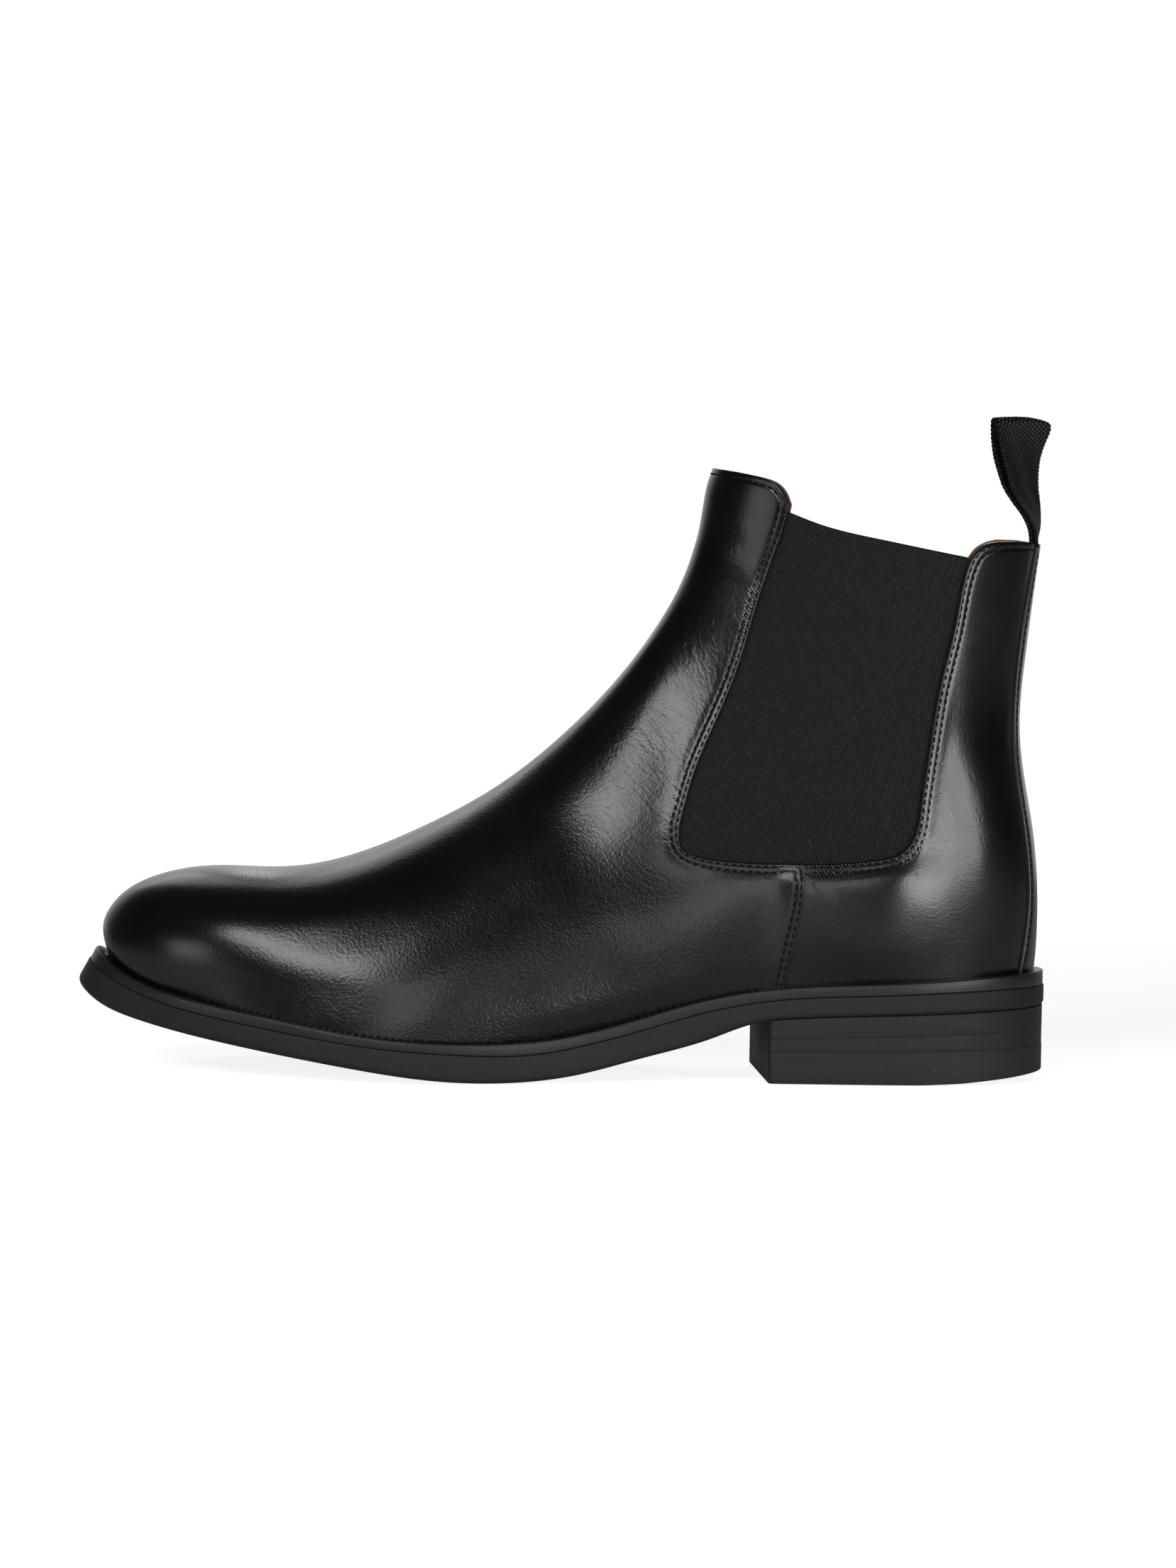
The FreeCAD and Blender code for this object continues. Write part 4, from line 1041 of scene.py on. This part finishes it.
STITCH_HEIGHT = -0.02
vamp_rows, quarter_rows, strip_rows = [], [], []
for side in (1, -1):
    top, window, seam, _ = VAMP[side]
    for distance in (ROW_1, ROW_2):
        vamp_rows.append(stitch_row(beside(window[1:-1], distance, (-1.0, -1.0)), STITCH_HEIGHT))
        lap = beside(seam, distance, (-1.0, 0.0))
        lap_height = LAP_RISE * ease(1.0 - distance / LAP_REACH)
        vamp_rows.append(stitch_row(lap[3:], STITCH_HEIGHT + lap_height))
    vamp_rows.append(stitch_row(beside(top[:-4], ROW_TOP, (0.0, -1.0)), STITCH_HEIGHT))
    _, window, top, _, _ = QUARTER[side]
    for distance in (ROW_1, ROW_2):
        quarter_rows.append(stitch_row(beside(window[4:], distance, (1.0, -1.0)), STITCH_HEIGHT))
    keep = np.abs(top[:, 0]) < abs(strip_side[1][0, 0]) - 0.03
    quarter_rows.append(stitch_row(beside(top[keep][2:], ROW_TOP, (0.0, -1.0)), STITCH_HEIGHT))
    path = beside(strip_side[side], ROW_STRIP, (1.0, 0.0))[2:-1]
    strip_rows.append(stitch_row(path, STRIP_THICK - 0.04))
on_foot(stitch_mesh("vamp_stitches", vamp_rows), "thread", "vamp_stitching")
on_leg(stitch_mesh("quarter_stitches", quarter_rows), "thread", "quarter_stitching",
       "leg_stitching")
on_leg(stitch_mesh("backstay_stitches", strip_rows), "thread", "backstay_stitching",
       "leg_backstay_stitching")

# ------------------------------------------------------------------ sole
# plan of the sole, as in the CAD: these points were printed by a separate program that
# offset the feather line by given widths
SOLE_OUTLINE = [
    (150.8, 0.0), (149.0, -9.5), (144.1, -17.6), (134.9, -25.4), (122.7, -30.9), (106.6, -34.0),
    (81.5, -35.0), (51.0, -36.2), (15.8, -40.4), (-14.8, -47.4), (-37.9, -52.2), (-56.6, -53.2),
    (-75.1, -50.8), (-94.4, -45.0), (-112.6, -36.4), (-128.6, -24.7), (-139.9, -14.9),
    (-147.2, -6.0), (-149.3, 3.5), (-147.2, 13.0), (-140.2, 21.8), (-131.0, 30.5),
    (-116.7, 40.7), (-100.1, 47.4), (-81.0, 51.3), (-62.0, 52.2), (-43.2, 49.6), (-20.1, 43.1),
    (16.2, 34.0), (53.3, 32.5), (82.9, 33.3), (106.3, 33.4), (123.1, 30.6), (134.8, 25.4),
    (144.0, 17.6), (149.0, 9.5)]
TOE_LEAN, LEAN_FROM, LEAN_RUN, LEAN_LEVEL = 0.56, 95.0, 55.0, 26.0


def leaned(x, z):
    """The wall of the sole leans forwards round the toe."""
    share = np.clip((-x - LEAN_FROM) / LEAN_RUN, 0.0, 1.0)
    return x + TOE_LEAN * share * share * (z - LEAN_LEVEL)


def loop_normals(loop):
    tangent = unit(np.roll(loop, -1, axis=0) - np.roll(loop, 1, axis=0))
    return np.stack([tangent[:, 1], -tangent[:, 0]], -1)


def inset(loop, distance):
    return loop + loop_normals(loop) * distance


def ring_rows(loop, profile):
    """Rows of points round a loop; the profile gives (inset, height function of x)."""
    rows = []
    for distance, height in profile:
        flat = inset(loop, distance)
        z = height(flat[:, 0])
        rows.append(np.stack([leaned(flat[:, 0], z), flat[:, 1], z], -1))
    return rows


def cap(loop, height, pitch, first_old, first_new, upwards):
    """Plan face filling a loop of existing vertices; returns its new points and faces."""
    grid = staggered(loop, pitch, pitch)
    tree = tree_of(np.column_stack([loop, np.zeros(len(loop))]))
    grid = grid[distances(tree, np.column_stack([grid, np.zeros(len(grid))])) > 0.6 * pitch]
    points, tris, origin = fill_plane(loop, grid)
    index = []
    new = []
    for i, ids in enumerate(origin):
        old = [k for k in ids if k < len(loop)]
        index.append(first_old + old[0] if old else first_new + len(new))
        if not old:
            new.append(i)
    x, y = points[new].T
    z = height(x)
    faces = []
    for a, b, c in tris:
        (ax, ay), (bx, by), (cx, cy) = points[[a, b, c]]
        if ((bx - ax) * (cy - ay) - (by - ay) * (cx - ax) > 0.0) != upwards:
            b, c = c, b
        faces.append((index[a], index[b], index[c]))
    return np.column_stack([leaned(x, z), y, z]), faces


def rounded_wall(low, high, edge, low_round, high_round, steps=4):
    """Wall profile between two height lines with rounded corners."""
    profile = []
    for i in range(steps + 1):
        turn = 0.5 * math.pi * i / steps
        profile.append((edge + low_round * (1.0 - math.sin(turn)),
                        lambda x, d=low_round * (1.0 - math.cos(turn)): low(x) + d))
    for share in (0.33, 0.66):
        profile.append((edge, lambda x, s=share: low(x) + low_round
                        + (high(x) - high_round - low(x) - low_round) * s))
    for i in range(steps + 1):
        turn = 0.5 * math.pi * i / steps
        profile.append((edge + high_round * (1.0 - math.cos(turn)),
                        lambda x, r=high_round * math.sin(turn): high(x) - high_round + r))
    return profile


def closed_layer(name, loop, low, high, corners, material, pitch=5.0):
    """Layer between two height lines: a wall with rounded corners and two caps."""
    profile = rounded_wall(low, high, *corners)
    rows = ring_rows(loop, profile)
    faces = ring_faces(len(rows), len(loop))
    total = len(loop) * len(rows)
    below, low_faces = cap(inset(loop, profile[0][0]), low, pitch, 0, total, False)
    above, high_faces = cap(inset(loop, profile[-1][0]), high, pitch, total - len(loop),
                            total + len(below), True)
    return new_object(name, np.vstack(rows + [below, above]), faces + low_faces + high_faces,
                      material)


def sole_top(x):
    return welt_bottom(x) - 0.05


outsole = closed_layer("outsole_body", smooth(SOLE_OUTLINE, 1.3, closed=True), sole_bottom,
                       sole_top, (0.15, 1.5, 0.25), RUBBER)
on_foot(outsole, "sole_rubber", "outsole")

# welt: flat strip with a wheeled top, its edge trimmed flush with the sole
sole_loop = smooth(SOLE_OUTLINE, 0.62, closed=True)
WHEEL_PITCH, WHEEL_END = 2.3, 62.0
wheel = 0.5 + 0.5 * np.cos(2.0 * math.pi * lengths_along(sole_loop) / WHEEL_PITCH)
wheel = wheel ** 3 * np.clip((WHEEL_END - sole_loop[:, 0]) / 8.0, 0.15, 1.0)


def welt_row(rise, cut=0.0):
    return lambda x: welt_top(x) + rise - cut * wheel


welt_profile = [
    (0.75, sole_top), (0.55, lambda x: welt_bottom(x) + 0.12),
    (0.5, lambda x: welt_bottom(x) + 0.4), (0.5, lambda x: 0.5 * (welt_bottom(x) + welt_top(x))),
    (0.5, welt_row(-0.5)), (0.58, welt_row(-0.22)), (0.8, welt_row(-0.05)), (1.15, welt_row(0.0)),
    (1.5, welt_row(0.0, 0.05)), (1.9, welt_row(0.0, 0.28)), (3.0, welt_row(0.0, 0.32)),
    (4.2, welt_row(0.0, 0.28)), (4.8, welt_row(-0.1)), (6.0, welt_row(-0.3)),
    (9.0, welt_row(-0.3))]
rows = ring_rows(sole_loop, welt_profile)
welt = new_object("welt_strip", np.vstack(rows), ring_faces(len(rows), len(sole_loop)), WELT)
on_foot(welt, "welt_strip", "welt")

FEATHER_GAP = 1.5
feather = [points_on(vamp_side(side, 0.0)[3]) for side in (1, -1)]
feather = smooth(np.vstack([feather[0][:-1:5, :2], feather[1][::-5, :2]]), 0.5)
stitch_line = feather + to_the_left(feather) * FEATHER_GAP
flat_x = np.linspace(-150.0, 100.0, 800)
stitch_z = np.interp(stitch_line[:, 0], leaned(flat_x, welt_top(flat_x)), welt_top(flat_x))
stitch_points = np.column_stack([stitch_line, stitch_z + 0.02])
stitch_points = stitch_points[stitch_points[:, 0] < WHEEL_END]
upward = np.tile((0.0, 0.0, 1.0), (len(stitch_points), 1))
welt_stitches = stitch_mesh("welt_stitches", [(stitch_points, upward)], WHEEL_PITCH, 0.34)
on_foot(welt_stitches, "thread", "welt_stitching")

# ------------------------------------------------------------------ heel
LATERAL_CORNER, MEDIAL_CORNER = (64.6, -34.8), (60.4, 31.9)
HEEL_FRONT, HEEL_BACK, CORNER_REACH = 70.0, 150.8, 2.5


def near_corner(loop):
    lateral, medial = (np.hypot(*(loop - corner).T) for corner in (LATERAL_CORNER, MEDIAL_CORNER))
    return (np.minimum(lateral, medial) < CORNER_REACH)[:, None]


def heel_loop(setback):
    """Heel outline: round the back of the sole and straight across the breast."""
    back = [tuple(p) for p in inset(np.array(SOLE_OUTLINE), setback) if p[0] > HEEL_FRONT]
    lateral = sorted(p for p in back if p[1] < -0.1)
    medial = sorted((p for p in back if p[1] > 0.1), reverse=True)
    line = [LATERAL_CORNER] + lateral + [(HEEL_BACK - setback, 0.0)] + medial + [MEDIAL_CORNER]
    straight = np.linspace(MEDIAL_CORNER, LATERAL_CORNER, 44)[1:-1]
    loop = np.vstack([smooth(line, 1.0), straight])[::-1]
    # soften the two breast corners
    for _ in range(2):
        beside_it = np.roll(loop, 1, 0) + np.roll(loop, -1, 0)
        loop = np.where(near_corner(loop), 0.5 * loop + 0.25 * beside_it, loop)
    return loop


for name, low, high, node, setback, low_round in (
        ("heel_lift_a", lift_upper, sole_bottom, "heel_lift_upper", 0.55, 0.14),
        ("heel_lift_b", lift_lower, lift_upper, "heel_lift_lower", 0.6, 0.14),
        ("heel_top_lift", heel_bottom, lift_lower, "heel_top_piece", 0.5, 0.5)):
    piece = closed_layer(name, heel_loop(setback), low, high, (0.0, low_round, 0.14), HEEL, 6.0)
    on_foot(piece, "sole_rubber", node)

# ------------------------------------------------------------------ pull tab
TAB_CENTRE = np.array([(0.0, 144.9, 4.0), (0.09, 144.9, 8.5), (0.2, 143.9, 15.5),
                       (0.29, 142.5, 22.5), (0.41, 140.75, 29.0), (0.55, 139.8, 34.5),
                       (0.69, 139.25, 42.4), (0.82, 139.35, 52.0), (0.96, 140.05, 68.0),
                       (1.0, 140.1, 73.0)])
TAB_SLOPES = np.gradient(TAB_CENTRE[:, 1:], TAB_CENTRE[:, 0], axis=0)
TAB_FOOT, TAB_HEIGHT, TAB_WIDTH, TAB_THICK, TAB_LOOP = 166.9, 37.6, 19.0, 1.3, 1.55


def tab_at(share):
    """Centre x and twist in degrees at a share of the tab's height."""
    k = int(np.clip(np.searchsorted(TAB_CENTRE[:, 0], share, side="right") - 1, 0,
                    len(TAB_CENTRE) - 2))
    width = TAB_CENTRE[k + 1, 0] - TAB_CENTRE[k, 0]
    f = (share - TAB_CENTRE[k, 0]) / width
    a, b = TAB_CENTRE[k, 1:], TAB_CENTRE[k + 1, 1:]
    slope_a, slope_b = TAB_SLOPES[k] * width, TAB_SLOPES[k + 1] * width
    return (a * (1 + 2 * f) * (1 - f) ** 2 + slope_a * f * (1 - f) ** 2
            + b * f * f * (3 - 2 * f) + slope_b * f * f * (f - 1))


def tab_mesh():
    """Woven webbing: up one side, over the loop and down the other, twisted as it rises."""
    top = TAB_HEIGHT - TAB_LOOP - 0.5 * TAB_THICK
    rise = np.linspace(-1.6, top, 130)
    gap = 0.5 * TAB_THICK + 0.05
    spread = gap + (TAB_LOOP - gap) * ease((rise - 6.0) / 18.0)
    turn = np.linspace(0.0, math.pi, 26)[1:-1]
    h = np.concatenate([rise, top + TAB_LOOP * np.sin(turn), rise[::-1]])
    off = np.concatenate([-spread, -TAB_LOOP * np.cos(turn), spread[::-1]])
    run = np.concatenate([[0.0], np.cumsum(np.hypot(np.diff(h), np.diff(off)))])
    dh, do = np.gradient(h), np.gradient(off)
    length = np.hypot(dh, do)
    nh, no = -do / length, dh / length
    # section of the webbing: flat with round selvedges
    width = 0.5 * TAB_WIDTH
    half = 0.5 * TAB_THICK
    section = []
    for s in np.linspace(-1.0, 1.0, 73):
        edge = min(1.0, (1.0 - abs(s)) * 14.0 + 0.001)
        section.append((s * width, half * (0.55 + 0.45 * math.sqrt(edge))))
    ring = section + [(w, -t) for w, t in section[::-1]]
    verts = []
    for i in range(len(h)):
        x, twist = tab_at(np.clip(h[i] / TAB_HEIGHT, 0.0, 1.0))
        angle = math.radians(float(twist))
        wide = np.array([math.sin(angle), math.cos(angle), 0.0])
        thick = np.array([math.cos(angle), -math.sin(angle), 0.0])
        # the free edges curl a little and waver
        for w, t in ring:
            share = w / width
            knots = math.sin(2.0 * math.pi * (w + 0.62 * run[i]) / 1.4) \
                * math.sin(2.0 * math.pi * (run[i] - 0.62 * w) / 1.3)
            t = t * (1.0 + 0.16 * knots)
            sag = ease((h[i] - 18.0) / 18.0) * (1.7 if share > 0.0 else 0.4) * share * share
            curl = 0.35 * ease((h[i] - 8.0) / 20.0) * share * share * math.sin(0.21 * h[i] + 1.0)
            o = off[i] - no[i] * t + curl
            z = TAB_FOOT + h[i] - nh[i] * t - sag
            waver = (0.12 * math.sin(0.35 * h[i] + 2.0 * share)
                     + 0.14 * math.sin(2.0 * math.pi * run[i] / 1.3)) * share
            verts.append(np.array([float(x), 0.0, z]) + wide * (w + waver) + thick * o)
    faces = ring_faces(len(h), len(ring), turned=True)
    obj = new_object("pull_tab_webbing", verts, faces, WEBBING)
    add_attribute(obj, "across", [w for w, _ in ring] * len(h))
    add_attribute(obj, "length", np.repeat(run, len(ring)))
    return obj


tab = tab_mesh()
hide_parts("pull_tab")
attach(tab, "tab")

# ------------------------------------------------------------------ CAD pieces that stay
STAYING = {"cork_filler": CORK, "shank": STEEL, "insole": BOARD, "sock_liner": LINING,
           "heel_nails": STEEL, "toe_puff": STIFFENER, "heel_counter": STIFFENER,
           "interlining": STIFFENER, "pull_tab_tail": WEBBING}
for node, material in STAYING.items():
    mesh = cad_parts[node].data
    mesh.materials.clear()
    mesh.materials.append(material)

# ------------------------------------------------------------------ floor, light, camera
def floor_painted_glow_look():
    look = Look("floor_pale_with_painted_glow")
    tone = look.noise(400.0, 2.0)
    color = look.mix(tone, rgb(0.86, 0.86, 0.865), rgb(0.9, 0.9, 0.905))
    close = look.near((0.0, 0.0, 0.0), 420.0, (0.75, 1.0, 1.0))
    seen = look.node("ShaderNodeLightPath").outputs["Is Camera Ray"]
    # painted light: for the eye the floor glows near white, less within reach of the boot so its
    # shadow shows, and it glows faintly for all other rays
    painted_floor_glow = look.times(seen, look.ranged(close, 0.0, 0.9, 0.95, 0.72))
    return look.finish(color, 0.8, Specular_IOR_Level=0.1, Emission_Color=rgb(1.0, 1.0, 1.0),
                       Emission_Strength=look.math("ADD", painted_floor_glow, 0.02))


bpy.ops.mesh.primitive_grid_add(x_subdivisions=8, y_subdivisions=8, size=1.0,
                                location=(0.0, 0.35, -0.0004))
floor = bpy.context.object
floor.scale = (2.6, 1.6, 1.0)
floor.name = "floor"
floor.data.materials.append(floor_painted_glow_look())

# white studio backdrop for the eye; the boot sees a dark room with a bright far wall
world = bpy.data.worlds.new("studio")
bpy.context.scene.world = world
world.use_nodes = True
sky = Nodes(world.node_tree)
background = sky.tree.nodes["Background"]
direction = sky.node("ShaderNodeTexCoord").outputs["Generated"]
toward = sky.node("ShaderNodeSeparateXYZ", {0: direction})
wall = sky.times(sky.ranged(toward.outputs["Y"], 0.55, 0.9),
                sky.ranged(toward.outputs["Z"], 0.35, 0.75, 1.0, 0.0))
room = sky.times(wall, 0.7, 0.03)
seen = sky.node("ShaderNodeLightPath").outputs["Is Camera Ray"]
background.inputs["Color"].default_value = rgb(1.0, 1.0, 1.0)
sky.put(background.inputs["Strength"], sky.math("MAXIMUM", room, seen))


LIGHT_DISTANCE = 1.5


def softbox(name, azimuth, elevation, wide, tall, radiance):
    """Rectangular soft light round the boot: azimuth 0 in front, 90 at the heel end."""
    a, e = math.radians(azimuth), math.radians(elevation)
    middle = Vector((0.0, 0.0, 0.07))
    ray = Vector((math.sin(a) * math.cos(e), -math.cos(a) * math.cos(e), math.sin(e)))
    light = bpy.data.lights.new(name, "AREA")
    light.shape = "RECTANGLE"
    light.size = 2.0 * LIGHT_DISTANCE * math.tan(math.radians(0.5 * wide))
    light.size_y = 2.0 * LIGHT_DISTANCE * math.tan(math.radians(0.5 * tall))
    light.energy = radiance * math.pi * light.size * light.size_y
    obj = bpy.data.objects.new(name, light)
    obj.location = middle + ray * LIGHT_DISTANCE
    obj.rotation_euler = (-ray).to_track_quat("-Z", "Y").to_euler()
    bpy.context.scene.collection.objects.link(obj)


# bearings and strengths started from a program's fit to the photo, then set one by one
softbox("key", -18.0, 24.0, 16.0, 17.0, 7.0)
softbox("side", -33.0, 32.0, 14.0, 18.0, 6.3)
softbox("low", 32.0, -4.0, 16.0, 13.0, 10.5)
softbox("right", 48.0, 7.0, 14.0, 20.0, 7.0)
softbox("front", 2.0, 8.0, 16.0, 13.0, 2.2)
softbox("toe_side", -58.0, 3.0, 22.0, 18.0, 1.7)
softbox("front_floor", -3.0, -4.0, 18.0, 12.0, 0.9)
softbox("rim", 178.0, 26.0, 16.0, 14.0, 2.8)
softbox("rim_toe", -158.0, 37.0, 16.0, 28.0, 0.9)

# a long lens 1.9 m away, looking slightly down and turned a little
PITCH, ROLL = math.radians(3.138074), math.radians(0.9)
camera = bpy.data.cameras.new("camera")
camera.sensor_fit = "VERTICAL"
camera.sensor_height = 36.0
camera.lens = 141.005425
camera.clip_end = 50.0
camera_object = bpy.data.objects.new("camera", camera)
camera_object.location = (0.00833, -1.9, 0.193)
camera_object.rotation_mode = "XYZ"
camera_object.rotation_euler = (Matrix.Rotation(0.5 * math.pi - PITCH, 3, "X")
                                @ Matrix.Rotation(ROLL, 3, "Z")).to_euler()
bpy.context.scene.collection.objects.link(camera_object)
bpy.context.scene.camera = camera_object
bpy.context.scene.view_settings.view_transform = "Standard"
